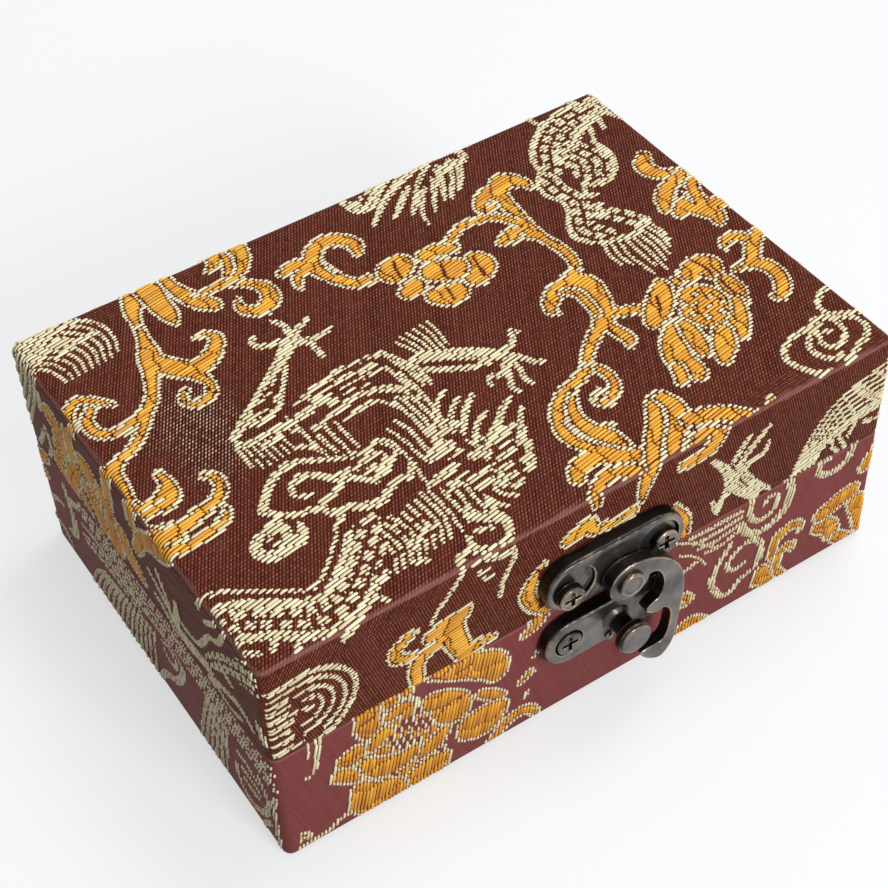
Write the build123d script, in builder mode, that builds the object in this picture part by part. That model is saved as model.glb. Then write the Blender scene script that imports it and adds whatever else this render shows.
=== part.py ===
from build123d import *
import os

# Brocade-covered keepsake box with a hinged lid and a swinging hook clasp.
# The origin is the middle of the underside, +X runs along the box to the right as seen
# from the front, the clasp is on the -Y face, and +Z is up. All sizes are millimetres.

# The closed box over its cloth
box_length = 100.0
box_width = 70.0
parting_height = 22.0
parting_gap = 0.3
lid_rise = 18.0

# Boards and cloth
board_thickness = 3.0
cloth_thickness = 0.5
cover_corner_radius = 1.3
lid_edge_radius = 1.2
rim_rounding_share = 0.8
turn_in_depth = 10.0
turn_under_width = 10.0
underside_sheet_thickness = 0.4
underside_sheet_margin = 3.0
underside_fit = 0.2

# Padded satin lining
lining_thickness = 1.5
lining_setback = 0.8
lining_fit = 0.1
base_pad_height = 5.0
lid_pad_height = 3.5
pad_fit = 0.3
pad_corner_radius = 2.0
# Each pad section: share of the pad's height, and its inset as a share of that height
pad_section_shares = [(0.0, 0.1), (0.35, 0.0), (0.7, 0.2), (0.9, 0.8), (1.0, 2.2)]

# Clasp plates, seen from the front: the lid carries the upper one, the base the lower one
clasp_centre_x = 1.4
plate_length = 22.4
upper_plate_height = 8.7
upper_plate_rise = 6.0
upper_plate_thickness = 2.4
plate_rounding = 0.6
pocket_radius = 3.3
pocket_depth = 0.7
lower_plate_height = 8.0
lower_plate_thickness = 2.2
lower_plate_rounding = 0.5

# Pivot rivet and stud, both on one upright line a little right of the plates' middle
hook_line_x = 1.7
pivot_rise = 4.3
stud_drop = 5.7
ear_radius = 3.0
boss_radius = 2.6
boss_height = 0.55
stack_clearance = 0.05
press_clearance = 0.02
rivet_radius = 1.3
rivet_running_clearance = 0.05
rivet_head_radius = 2.05
rivet_head_height = 0.7
rivet_dish_radius = 1.5
rivet_dish_depth = 0.2
stud_shank_radius = 1.2
stud_foot_radius = 2.3
stud_waist_radius = 1.55
stud_head_radius = 2.65
stud_face_radius = 2.35
stud_foot_height = 0.7
stud_head_height = 1.8
stud_shoulder = 0.4
stud_edge_drop = 0.5

# Hook arm: its ring turns on the rivet, its mouth opens to the left round the stud's waist
arm_thickness = 1.9
arm_head_gap = 0.2
ring_radius = 3.25
# Both edges of the hook, from the ring to the tail and back, in the rivet's own frame,
# as shares of the distance from the rivet down to the stud
hook_outer_shares = [
    (0.03, 0.33), (0.5, 0.17), (0.85, -0.24), (0.94, -0.8), (0.87, -1.42),
    (0.8, -1.82), (0.62, -2.02), (0.4, -1.93), (0.24, -1.71),
]
hook_jaw_shares = [
    (0.24, -1.71), (0.44, -1.68), (0.63, -1.66), (0.72, -1.44), (0.74, -1.22), (0.7, -1.04), (0.58, -0.94),
]
hook_nub_shares = [(0.58, -0.94), (0.4, -0.93), (0.31, -0.82), (0.38, -0.73), (0.5, -0.68)]
hook_slot_shares = [(0.5, -0.68), (0.575, -0.5), (0.55, -0.24), (0.46, -0.09), (0.3, -0.05)]

# Clasp screws and the nail beside the stud
clasp_screw_head_radius = 2.0
clasp_screw_head_height = 1.3
clasp_screw_head_rounding = 0.35
clasp_screw_shank_radius = 0.9
clasp_screw_slot_length = 2.6
clasp_screw_slot_width = 0.6
clasp_screw_slot_depth = 0.6
clasp_screw_recess_gap = 0.25
upper_screw_offset = 7.9
upper_screw_drop = 0.8
upper_screw_seats = [2.3, 1.5]
lower_screw_offset = 7.4
lower_screw_seat = 1.15
nail_offset_x = 1.1
nail_offset_z = 2.9
nail_head_radius = 0.65
nail_head_height = 0.6
nail_shank_radius = 0.35
# How far every shank bites into its board, as a share of the board's thickness
bite_share = 0.85

# Two small butt hinges on the outside of the back
hinge_end_distance = 14.0
hinge_width = 16.0
hinge_leaf_height = 8.0
hinge_leaf_thickness = 0.8
hinge_leaf_corner = 1.0
knuckle_radius = 1.5
knuckle_standoff = 0.15
middle_knuckle_length = 6.0
knuckle_gap = 0.15
hinge_pin_radius = 0.6
hinge_pin_running_clearance = 0.06
hinge_pin_head_radius = 1.0
hinge_pin_head_length = 0.4
hinge_screw_spacing = 9.0
hinge_screw_drop = 5.0
hinge_screw_head_radius = 1.3
hinge_screw_head_height = 0.65
hinge_screw_head_rounding = 0.15
hinge_screw_seat = 0.3
hinge_screw_shank_radius = 0.6
hinge_screw_slot_width = 0.35
hinge_screw_slot_depth = 0.3

# Longer than any cut is deep
overrun = 30.0

# Heights worked out from the sizes above
base_rim = parting_height - parting_gap / 2
lid_rim = parting_height + parting_gap / 2
lid_top = parting_height + lid_rise
cloth_bottom = underside_sheet_thickness
carcass_bottom = cloth_bottom + cloth_thickness
floor_top = carcass_bottom + board_thickness
base_wall_top = base_rim - cloth_thickness
lid_wall_bottom = lid_rim + cloth_thickness
lid_board_top = lid_top - cloth_thickness
lid_board_bottom = lid_board_top - board_thickness

# Lengths and widths of the board carcass and of the spaces inside it
carcass_length = box_length - 2 * cloth_thickness
carcass_width = box_width - 2 * cloth_thickness
board_corner_radius = cover_corner_radius - cloth_thickness
inner_length = carcass_length - 2 * board_thickness
inner_width = carcass_width - 2 * board_thickness
lined_length = inner_length - 2 * (cloth_thickness + lining_fit)
lined_width = inner_width - 2 * (cloth_thickness + lining_fit)
well_length = lined_length - 2 * lining_thickness
well_width = lined_width - 2 * lining_thickness
rim_rounding = rim_rounding_share * cloth_thickness
bite = bite_share * board_thickness

# The cloth faces that carry the clasp and the hinges
front_face = Plane.front.offset(box_width / 2)
back_face = Plane.back.offset(box_width / 2)

# Clasp heights, and depths counted forward from the front cloth face
pivot_height = parting_height + pivot_rise
stud_height = parting_height - stud_drop
hook_drop = pivot_rise + stud_drop
arm_back = upper_plate_thickness + boss_height + stack_clearance
arm_front = arm_back + arm_thickness
rivet_head_seat = arm_front + stack_clearance
stud_head_seat = arm_front + arm_head_gap
upper_plate_centre = (clasp_centre_x, parting_height + upper_plate_rise)
upper_screw_height = upper_plate_centre[1] - upper_screw_drop
upper_screw_places = [
    (clasp_centre_x - upper_screw_offset, upper_screw_height),
    (clasp_centre_x + upper_screw_offset, upper_screw_height),
]
pocket_offset = (plate_length - upper_plate_height) / 2
pocket_places = [
    (clasp_centre_x - pocket_offset, upper_plate_centre[1]),
    (clasp_centre_x + pocket_offset, upper_plate_centre[1]),
]
lower_screw_places = [
    (clasp_centre_x - lower_screw_offset, stud_height),
    (clasp_centre_x + lower_screw_offset, stud_height),
]
nail_place = (hook_line_x - nail_offset_x, stud_height - nail_offset_z)

# Hinge axis, and the screw places of one leaf beside it
hinge_axis_y = box_width / 2 + knuckle_standoff + knuckle_radius
knuckle_notch = knuckle_radius + knuckle_standoff
hinge_offset = box_length / 2 - hinge_end_distance - hinge_width / 2
hinge_centres = {"left": -hinge_offset, "right": hinge_offset}
base_knuckles = [(-hinge_width / 2, -middle_knuckle_length / 2), (middle_knuckle_length / 2, hinge_width / 2)]
lid_knuckles = [(-middle_knuckle_length / 2 + knuckle_gap, middle_knuckle_length / 2 - knuckle_gap)]
hinge_screw_columns = [-hinge_screw_spacing / 2, hinge_screw_spacing / 2]


def finish(piece, name):
    """Label a finished piece and write its STEP file."""
    piece.part.label = name
    export_step(piece.part, f"parts/{name}.step")


def block(length, width, low, high, corner=0, mode=Mode.ADD):
    """Upright block about the origin between two heights, with rounded corners if any."""
    with BuildSketch(Plane.XY.offset(low)) as outline:
        if corner > 0:
            RectangleRounded(length, width, corner)
        else:
            Rectangle(length, width)
    extrude(outline.sketch, amount=high - low, mode=mode)


def holes(face, places, radius, depth):
    """Blind round holes from a face into the pieces behind it."""
    with BuildSketch(face) as mouths:
        with Locations(*places):
            Circle(radius)
    extrude(mouths.sketch, amount=-depth, mode=Mode.SUBTRACT)


def wall(length, depth, low, high, centre):
    """A straight board or lining strip standing between two heights."""
    with BuildPart() as strip:
        with BuildSketch(Plane.XY.offset(low)):
            with Locations(centre):
                Rectangle(length, depth)
        extrude(amount=high - low)
    return strip


def long_wall(side, low, high, shank_holes):
    """Front (side -1) or back (side 1) board, rounded at its outer corners, with pilot holes."""
    face = front_face if side < 0 else back_face
    with BuildPart() as board:
        with BuildSketch(Plane.XY.offset(low)):
            with Locations((0, side * (carcass_width - board_thickness) / 2)):
                Rectangle(carcass_length, board_thickness)
        extrude(amount=high - low)
        outer = board.edges().filter_by(Axis.Z).group_by(Axis.Y)[0 if side < 0 else -1]
        fillet(outer, board_corner_radius)
        for places, radius in shank_holes:
            holes(face, places, radius + press_clearance, cloth_thickness + bite)
    return board


def cushion(seat, height, upward):
    """Satin pad in the lined well: flat where it is glued, crowned on its free side."""
    with BuildPart() as pad:
        for height_share, inset_share in pad_section_shares:
            inset = pad_fit + inset_share * height
            with BuildSketch(Plane.XY.offset(seat + upward * height_share * height)):
                RectangleRounded(well_length - 2 * inset, well_width - 2 * inset, pad_corner_radius)
        loft(ruled=True)
    return pad


def lathe(centre, profile):
    """Turn a profile of (radius, depth in front of the cloth) about an axis square to the front."""
    x, z = centre
    with BuildSketch(Plane.XY.offset(z)) as half_section:
        with BuildLine():
            Polyline(*[(x + radius, -box_width / 2 - depth) for radius, depth in profile], close=True)
        make_face()
    revolve(half_section.sketch, axis=Axis((x, 0, z), (0, 1, 0)))


def screw(face, place, seat, radius, height, rounding, shank_radius, cross):
    """One screw with its head seated in front of a face and its shank in the board behind."""
    with BuildSketch(face.offset(seat)) as head:
        with Locations(place):
            Circle(radius)
    extrude(head.sketch, amount=height)
    rim = edges(Select.LAST).filter_by(lambda edge: face.to_local_coords(edge.center()).Z > seat)
    fillet(rim, rounding)
    slot_length, slot_width, slot_depth = cross
    with BuildSketch(face.offset(seat + height)) as drive:
        with Locations(place):
            Rectangle(slot_length, slot_width)
            if slot_length < 2 * radius:
                Rectangle(slot_width, slot_length)
    extrude(drive.sketch, amount=-slot_depth, mode=Mode.SUBTRACT)
    with BuildSketch(face.offset(seat)) as shank:
        with Locations(place):
            Circle(shank_radius)
    extrude(shank.sketch, amount=-(seat + cloth_thickness + bite))


def hinge_leaf(centre, side, knuckles, bore_clearance):
    """Flat leaf on the back, below (side -1) or above (side 1) the barrel, with its knuckles."""
    with BuildPart() as leaf:
        with BuildSketch(back_face):
            with Locations((-centre, parting_height + side * (hinge_leaf_height + knuckle_notch) / 2)):
                Rectangle(hinge_width, hinge_leaf_height - knuckle_notch)
            for start, end in knuckles:
                with Locations((-centre - (start + end) / 2, parting_height + side * knuckle_notch / 2)):
                    Rectangle(end - start, knuckle_notch)
        extrude(amount=hinge_leaf_thickness)
        corners = leaf.edges().filter_by(Axis.Y).group_by(Axis.Z)[0 if side < 0 else -1]
        fillet(corners, hinge_leaf_corner)
        for start, end in knuckles:
            with BuildSketch(Plane.YZ.offset(centre + start)):
                with Locations((hinge_axis_y, parting_height)):
                    Circle(knuckle_radius)
            extrude(amount=end - start)
        with BuildSketch(Plane.YZ.offset(centre - hinge_width / 2)):
            with Locations((hinge_axis_y, parting_height)):
                Circle(hinge_pin_radius + bore_clearance)
        extrude(amount=hinge_width, mode=Mode.SUBTRACT)
        places = leaf_screw_places(centre, side)
        holes(back_face.offset(overrun), places, hinge_screw_shank_radius + press_clearance, overrun + overrun)
        holes(
            back_face.offset(hinge_leaf_thickness),
            places,
            hinge_screw_head_radius + press_clearance,
            hinge_leaf_thickness - hinge_screw_seat,
        )
    return leaf


def leaf_screw_places(centre, side):
    """Screw places of one leaf on the back face, whose own x runs the other way."""
    return [(-centre + column, parting_height + side * hinge_screw_drop) for column in hinge_screw_columns]


def hinge_pin(centre):
    """Plain pin through the three knuckles, with a flat head at each end."""
    with BuildPart() as pin:
        with BuildSketch(Plane.YZ.offset(centre - hinge_width / 2)):
            with Locations((hinge_axis_y, parting_height)):
                Circle(hinge_pin_radius)
        extrude(amount=hinge_width)
        for end, way in [(centre - hinge_width / 2, -1), (centre + hinge_width / 2, 1)]:
            with BuildSketch(Plane.YZ.offset(end)):
                with Locations((hinge_axis_y, parting_height)):
                    Circle(hinge_pin_head_radius)
            extrude(amount=way * hinge_pin_head_length)
    return pin


# Shank holes that the boards and the cloth share
base_front_holes = [
    (lower_screw_places, clasp_screw_shank_radius),
    ([nail_place], nail_shank_radius),
]
lid_front_holes = [(upper_screw_places, clasp_screw_shank_radius)]
base_back_holes = [(leaf_screw_places(centre, -1), hinge_screw_shank_radius) for centre in hinge_centres.values()]
lid_back_holes = [(leaf_screw_places(centre, 1), hinge_screw_shank_radius) for centre in hinge_centres.values()]

# Base carcass: a floor under four walls, the side walls between the long ones
with BuildPart() as base_floor_board:
    block(carcass_length, carcass_width, carcass_bottom, floor_top, board_corner_radius)
finish(base_floor_board, "base_floor_board")

base_front_board = long_wall(-1, floor_top, base_wall_top, base_front_holes)
finish(base_front_board, "base_front_board")

base_back_board = long_wall(1, floor_top, base_wall_top, base_back_holes)
finish(base_back_board, "base_back_board")

side_wall_offset = (carcass_length - board_thickness) / 2
base_left_board = wall(board_thickness, inner_width, floor_top, base_wall_top, (-side_wall_offset, 0))
finish(base_left_board, "base_left_board")

base_right_board = wall(board_thickness, inner_width, floor_top, base_wall_top, (side_wall_offset, 0))
finish(base_right_board, "base_right_board")

# Base cover: one wrapped cloth, turned in over the rim and under the floor
with BuildPart() as base_brocade_cover:
    block(box_length, box_width, cloth_bottom, base_rim, cover_corner_radius)
    outline = base_brocade_cover.edges().group_by(Axis.Z)
    fillet(outline[0] + outline[-1], rim_rounding)
    base_boards = [base_floor_board, base_front_board, base_back_board, base_left_board, base_right_board]
    for board in base_boards:
        add(board.part, mode=Mode.SUBTRACT)
    block(inner_length - 2 * cloth_thickness, inner_width - 2 * cloth_thickness, floor_top, base_rim,
          mode=Mode.SUBTRACT)
    block(inner_length, inner_width, floor_top, base_rim - turn_in_depth, mode=Mode.SUBTRACT)
    block(box_length - 2 * turn_under_width, box_width - 2 * turn_under_width, cloth_bottom, carcass_bottom,
          mode=Mode.SUBTRACT)
    for places, radius in base_front_holes:
        holes(front_face, places, radius + press_clearance, cloth_thickness + bite)
    for places, radius in base_back_holes:
        holes(back_face, places, radius + press_clearance, cloth_thickness + bite)
finish(base_brocade_cover, "base_brocade_cover")

# Paper sheet glued under the base: it fills the window between the cloth's turned edges
with BuildPart() as base_underside_sheet:
    block(
        box_length - 2 * underside_sheet_margin,
        box_width - 2 * underside_sheet_margin,
        0,
        underside_sheet_thickness,
    )
    block(
        box_length - 2 * (turn_under_width + underside_fit),
        box_width - 2 * (turn_under_width + underside_fit),
        underside_sheet_thickness,
        carcass_bottom,
    )
finish(base_underside_sheet, "base_underside_sheet")

# Satin lining strips and the floor pad of the base
base_lining_top = base_rim - lining_setback
long_lining_offset = (lined_width - lining_thickness) / 2
side_lining_offset = (lined_length - lining_thickness) / 2
base_front_lining = wall(lined_length, lining_thickness, floor_top, base_lining_top, (0, -long_lining_offset))
finish(base_front_lining, "base_front_lining")

base_back_lining = wall(lined_length, lining_thickness, floor_top, base_lining_top, (0, long_lining_offset))
finish(base_back_lining, "base_back_lining")

base_left_lining = wall(lining_thickness, well_width, floor_top, base_lining_top, (-side_lining_offset, 0))
finish(base_left_lining, "base_left_lining")

base_right_lining = wall(lining_thickness, well_width, floor_top, base_lining_top, (side_lining_offset, 0))
finish(base_right_lining, "base_right_lining")

base_floor_pad = cushion(floor_top, base_pad_height, 1)
finish(base_floor_pad, "base_floor_pad")

# Lid carcass: a top board over four walls
with BuildPart() as lid_top_board:
    block(carcass_length, carcass_width, lid_board_bottom, lid_board_top, board_corner_radius)
    fillet(lid_top_board.edges().group_by(Axis.Z)[-1], lid_edge_radius - cloth_thickness)
finish(lid_top_board, "lid_top_board")

lid_front_board = long_wall(-1, lid_wall_bottom, lid_board_bottom, lid_front_holes)
finish(lid_front_board, "lid_front_board")

lid_back_board = long_wall(1, lid_wall_bottom, lid_board_bottom, lid_back_holes)
finish(lid_back_board, "lid_back_board")

lid_left_board = wall(board_thickness, inner_width, lid_wall_bottom, lid_board_bottom, (-side_wall_offset, 0))
finish(lid_left_board, "lid_left_board")

lid_right_board = wall(board_thickness, inner_width, lid_wall_bottom, lid_board_bottom, (side_wall_offset, 0))
finish(lid_right_board, "lid_right_board")

# Lid cover: one cloth over the top and down the walls, turned in over the rim
with BuildPart() as lid_brocade_cover:
    block(box_length, box_width, lid_rim, lid_top, cover_corner_radius)
    outline = lid_brocade_cover.edges().group_by(Axis.Z)
    fillet(outline[-1], lid_edge_radius)
    fillet(lid_brocade_cover.edges().group_by(Axis.Z)[0], rim_rounding)
    lid_boards = [lid_top_board, lid_front_board, lid_back_board, lid_left_board, lid_right_board]
    for board in lid_boards:
        add(board.part, mode=Mode.SUBTRACT)
    block(inner_length - 2 * cloth_thickness, inner_width - 2 * cloth_thickness, lid_rim, lid_board_bottom,
          mode=Mode.SUBTRACT)
    block(inner_length, inner_width, lid_rim + turn_in_depth, lid_board_bottom, mode=Mode.SUBTRACT)
    for places, radius in lid_front_holes:
        holes(front_face, places, radius + press_clearance, cloth_thickness + bite)
    for places, radius in lid_back_holes:
        holes(back_face, places, radius + press_clearance, cloth_thickness + bite)
finish(lid_brocade_cover, "lid_brocade_cover")

# Satin lining strips and the pad of the lid
lid_lining_bottom = lid_rim + lining_setback
lid_front_lining = wall(lined_length, lining_thickness, lid_lining_bottom, lid_board_bottom,
                        (0, -long_lining_offset))
finish(lid_front_lining, "lid_front_lining")

lid_back_lining = wall(lined_length, lining_thickness, lid_lining_bottom, lid_board_bottom,
                       (0, long_lining_offset))
finish(lid_back_lining, "lid_back_lining")

lid_left_lining = wall(lining_thickness, well_width, lid_lining_bottom, lid_board_bottom,
                       (-side_lining_offset, 0))
finish(lid_left_lining, "lid_left_lining")

lid_right_lining = wall(lining_thickness, well_width, lid_lining_bottom, lid_board_bottom,
                        (side_lining_offset, 0))
finish(lid_right_lining, "lid_right_lining")

lid_pad = cushion(lid_board_bottom, lid_pad_height, -1)
finish(lid_pad, "lid_pad")

# Upper clasp plate: long round-ended casting with two sunk lobes, an ear and the rivet's boss
with BuildPart() as clasp_upper_plate:
    with BuildSketch(front_face):
        with Locations(upper_plate_centre):
            SlotOverall(plate_length, upper_plate_height)
        with Locations((hook_line_x, pivot_height)):
            Circle(ear_radius)
    extrude(amount=upper_plate_thickness)
    fillet(clasp_upper_plate.edges().group_by(Axis.Y)[0], plate_rounding)
    holes(front_face.offset(upper_plate_thickness), pocket_places, pocket_radius, pocket_depth)
    with BuildSketch(front_face.offset(upper_plate_thickness - plate_rounding)):
        with Locations((hook_line_x, pivot_height)):
            Circle(boss_radius)
    extrude(amount=plate_rounding + boss_height)
    for place, seat in zip(upper_screw_places, upper_screw_seats):
        shank_hole = clasp_screw_shank_radius + press_clearance
        holes(front_face.offset(upper_plate_thickness), [place], shank_hole, overrun)
        if seat < upper_plate_thickness - pocket_depth:
            head_hole = clasp_screw_head_radius + press_clearance
            holes(front_face.offset(upper_plate_thickness), [place], head_hole, upper_plate_thickness - seat)
    holes(
        front_face.offset(arm_back),
        [(hook_line_x, pivot_height)],
        rivet_radius + press_clearance,
        overrun,
    )
finish(clasp_upper_plate, "clasp_upper_plate")

with BuildPart() as clasp_upper_screws:
    for place, seat in zip(upper_screw_places, upper_screw_seats):
        screw(front_face, place, seat, clasp_screw_head_radius, clasp_screw_head_height,
              clasp_screw_head_rounding, clasp_screw_shank_radius,
              (clasp_screw_slot_length, clasp_screw_slot_width, clasp_screw_slot_depth))
finish(clasp_upper_screws, "clasp_upper_screws")

# Rivet: riveted through the plate, its dished head holds the arm's ring with running play
with BuildPart() as clasp_pivot_rivet:
    rivet_face = rivet_head_seat + rivet_head_height
    lathe((hook_line_x, pivot_height), [
        (0, 0),
        (rivet_radius, 0),
        (rivet_radius, rivet_head_seat),
        (rivet_head_radius, rivet_head_seat),
        (rivet_head_radius, rivet_face - rivet_dish_depth),
        (rivet_head_radius - rivet_dish_depth, rivet_face),
        (rivet_dish_radius, rivet_face),
        (rivet_dish_radius - rivet_dish_depth, rivet_face - rivet_dish_depth),
        (0, rivet_face - rivet_dish_depth),
    ])
finish(clasp_pivot_rivet, "clasp_pivot_rivet")

# Lower clasp plate: plain round-ended casting with sunk screws, the stud and a nail
with BuildPart() as clasp_lower_plate:
    with BuildSketch(front_face):
        with Locations((clasp_centre_x, stud_height)):
            SlotOverall(plate_length, lower_plate_height)
    extrude(amount=lower_plate_thickness)
    fillet(clasp_lower_plate.edges().group_by(Axis.Y)[0], lower_plate_rounding)
    plate_face = front_face.offset(lower_plate_thickness)
    holes(plate_face, lower_screw_places, clasp_screw_head_radius + clasp_screw_recess_gap,
          lower_plate_thickness - lower_screw_seat)
    holes(plate_face, lower_screw_places, clasp_screw_shank_radius + press_clearance, overrun)
    holes(plate_face, [(hook_line_x, stud_height)], stud_shank_radius + press_clearance, overrun)
    holes(plate_face, [nail_place], nail_shank_radius + press_clearance, overrun)
finish(clasp_lower_plate, "clasp_lower_plate")

with BuildPart() as clasp_lower_screws:
    for place in lower_screw_places:
        screw(front_face, place, lower_screw_seat, clasp_screw_head_radius, clasp_screw_head_height,
              clasp_screw_head_rounding, clasp_screw_shank_radius,
              (clasp_screw_slot_length, clasp_screw_slot_width, clasp_screw_slot_depth))
finish(clasp_lower_screws, "clasp_lower_screws")

# Stud: riveted in the plate, with a coned foot, the waist that the hook goes round, and a head
with BuildPart() as clasp_stud:
    stud_face = stud_head_seat + stud_head_height
    lathe((hook_line_x, stud_height), [
        (0, 0),
        (stud_shank_radius, 0),
        (stud_shank_radius, lower_plate_thickness),
        (stud_foot_radius, lower_plate_thickness),
        (stud_waist_radius, lower_plate_thickness + stud_foot_height),
        (stud_waist_radius, stud_head_seat),
        (stud_head_radius - stud_shoulder, stud_head_seat),
        (stud_head_radius, stud_head_seat + stud_shoulder),
        (stud_head_radius, stud_face - stud_edge_drop),
        (stud_head_radius - stud_shoulder / 2, stud_face - stud_edge_drop / 4),
        (stud_face_radius, stud_face),
        (0, stud_face),
    ])
finish(clasp_stud, "clasp_stud")

with BuildPart() as clasp_anchor_nail:
    nail_face = lower_plate_thickness + nail_head_height
    lathe(nail_place, [
        (0, -cloth_thickness - bite),
        (nail_shank_radius, -cloth_thickness - bite),
        (nail_shank_radius, lower_plate_thickness),
        (nail_head_radius, lower_plate_thickness),
        (nail_head_radius, nail_face - nail_head_height / 2),
        (nail_head_radius / 2, nail_face),
        (0, nail_face),
    ])
finish(clasp_anchor_nail, "clasp_anchor_nail")

# Hook arm: ring, broad limb, nub over the stud and long tail round under it
hook_plane = Plane(
    origin=(hook_line_x, -box_width / 2 - arm_back, pivot_height),
    x_dir=(1, 0, 0),
    z_dir=(0, -1, 0),
)
with BuildPart() as clasp_hook_arm:
    with BuildSketch(hook_plane):
        with BuildLine():
            for shares in [hook_outer_shares, hook_jaw_shares, hook_nub_shares, hook_slot_shares]:
                Spline(*[(x * hook_drop, z * hook_drop) for x, z in shares])
            Line(
                (hook_slot_shares[-1][0] * hook_drop, hook_slot_shares[-1][1] * hook_drop),
                (hook_outer_shares[0][0] * hook_drop, hook_outer_shares[0][1] * hook_drop),
            )
        make_face()
        Circle(ring_radius)
        Circle(rivet_radius + rivet_running_clearance, mode=Mode.SUBTRACT)
    extrude(amount=arm_thickness)
finish(clasp_hook_arm, "clasp_hook_arm")

# Hinges: each has a leaf and two knuckles on the base, a leaf and the middle knuckle on the lid
left_hinge_base_leaf = hinge_leaf(hinge_centres["left"], -1, base_knuckles, press_clearance)
finish(left_hinge_base_leaf, "left_hinge_base_leaf")

right_hinge_base_leaf = hinge_leaf(hinge_centres["right"], -1, base_knuckles, press_clearance)
finish(right_hinge_base_leaf, "right_hinge_base_leaf")

left_hinge_lid_leaf = hinge_leaf(hinge_centres["left"], 1, lid_knuckles, hinge_pin_running_clearance)
finish(left_hinge_lid_leaf, "left_hinge_lid_leaf")

right_hinge_lid_leaf = hinge_leaf(hinge_centres["right"], 1, lid_knuckles, hinge_pin_running_clearance)
finish(right_hinge_lid_leaf, "right_hinge_lid_leaf")

left_hinge_pin = hinge_pin(hinge_centres["left"])
finish(left_hinge_pin, "left_hinge_pin")

right_hinge_pin = hinge_pin(hinge_centres["right"])
finish(right_hinge_pin, "right_hinge_pin")

hinge_slot = (2 * hinge_screw_head_radius, hinge_screw_slot_width, hinge_screw_slot_depth)
with BuildPart() as hinge_base_screws:
    for centre in hinge_centres.values():
        for place in leaf_screw_places(centre, -1):
            screw(back_face, place, hinge_screw_seat, hinge_screw_head_radius, hinge_screw_head_height,
                  hinge_screw_head_rounding, hinge_screw_shank_radius, hinge_slot)
finish(hinge_base_screws, "hinge_base_screws")

with BuildPart() as hinge_lid_screws:
    for centre in hinge_centres.values():
        for place in leaf_screw_places(centre, 1):
            screw(back_face, place, hinge_screw_seat, hinge_screw_head_radius, hinge_screw_head_height,
                  hinge_screw_head_rounding, hinge_screw_shank_radius, hinge_slot)
finish(hinge_lid_screws, "hinge_lid_screws")
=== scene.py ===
# A small keepsake box: board walls wrapped in maroon brocade, a satin-lined inside, two butt hinges
# behind and a cast clasp in front. Everything is in metres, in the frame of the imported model.
import math
import bmesh
import bpy
import numpy as np
from mathutils import Matrix, Vector


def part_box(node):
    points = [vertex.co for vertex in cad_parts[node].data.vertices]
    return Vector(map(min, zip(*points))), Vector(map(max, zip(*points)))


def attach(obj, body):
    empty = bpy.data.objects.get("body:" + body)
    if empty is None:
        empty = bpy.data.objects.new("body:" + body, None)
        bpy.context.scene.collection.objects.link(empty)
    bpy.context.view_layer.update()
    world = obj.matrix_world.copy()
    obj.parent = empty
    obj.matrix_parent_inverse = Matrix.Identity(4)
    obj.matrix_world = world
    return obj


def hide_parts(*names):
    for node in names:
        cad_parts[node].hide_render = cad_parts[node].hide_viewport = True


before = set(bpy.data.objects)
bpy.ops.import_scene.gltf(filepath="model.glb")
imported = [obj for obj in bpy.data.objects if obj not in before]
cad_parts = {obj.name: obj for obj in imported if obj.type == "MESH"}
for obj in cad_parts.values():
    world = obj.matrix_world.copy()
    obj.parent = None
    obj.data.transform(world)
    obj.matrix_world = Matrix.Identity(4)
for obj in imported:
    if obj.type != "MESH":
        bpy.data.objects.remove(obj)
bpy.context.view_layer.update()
MM = 0.001


# The camera stands in front of the box's left corner, about as high above it as it is far away.
# Its place and its three directions were worked out from the box's own corners.
def in_scene(name, data):
    """An object of that name, put into the scene."""
    made = bpy.data.objects.new(name, data)
    bpy.context.scene.collection.objects.link(made)
    return made


camera = in_scene("camera", bpy.data.cameras.new("camera"))
bpy.context.scene.camera = camera
camera_right = Vector((0.8349581, -0.5492176, -0.0347135))
camera_up = Vector((0.4177723, 0.5915397, 0.6895992))
camera_back = Vector((-0.3582056, -0.5902888, 0.7233587))
camera_place = Vector((-99.988, -162.380, 219.205)) * MM
camera.matrix_world = Matrix.Translation(camera_place) @ Matrix(
    (camera_right, camera_up, camera_back)).transposed().to_4x4()
camera.data.sensor_width = 36
camera.data.lens = 77.187
camera.data.clip_start = 0.01
camera.data.clip_end = 20
bpy.context.scene.view_settings.view_transform = "Standard"


# The table top is a plain white board, lit by an even room, a wide soft lamp in front and a weaker
# one overhead, so that the left end stays in shade and the box keeps a soft shadow where it stands.
def add(tree, kind, inputs=None, **settings):
    """A node with its settings made, and each input given a constant or another node's socket."""
    made = tree.nodes.new(kind)
    for name, value in settings.items():
        setattr(made, name, value)
    for key, value in (inputs or {}).items():
        if isinstance(value, bpy.types.NodeSocket):
            tree.links.new(value, made.inputs[key])
        else:
            made.inputs[key].default_value = value
    return made


def maths(tree, operation, *values, clamp=False):
    """What a maths node makes of its values."""
    return add(
        tree, "ShaderNodeMath", dict(enumerate(values)), operation=operation, use_clamp=clamp).outputs[0]


def ranged(tree, value, before=(0, 1), after=(0, 1)):
    """A value carried from one range into another and held inside it."""
    return add(tree, "ShaderNodeMapRange", {
        "Value": value, "From Min": before[0], "From Max": before[1],
        "To Min": after[0], "To Max": after[1]}).outputs[0]


def finish_named(name):
    """A material and its tree, still empty."""
    material = bpy.data.materials.new(name)
    material.use_nodes = True
    material.node_tree.nodes.clear()
    return material, material.node_tree


def shaded(tree, looks):
    """The surface of a material, its looks given input by input."""
    surface = add(tree, "ShaderNodeBsdfPrincipled", looks)
    add(tree, "ShaderNodeOutputMaterial", {0: surface.outputs[0]})


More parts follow.
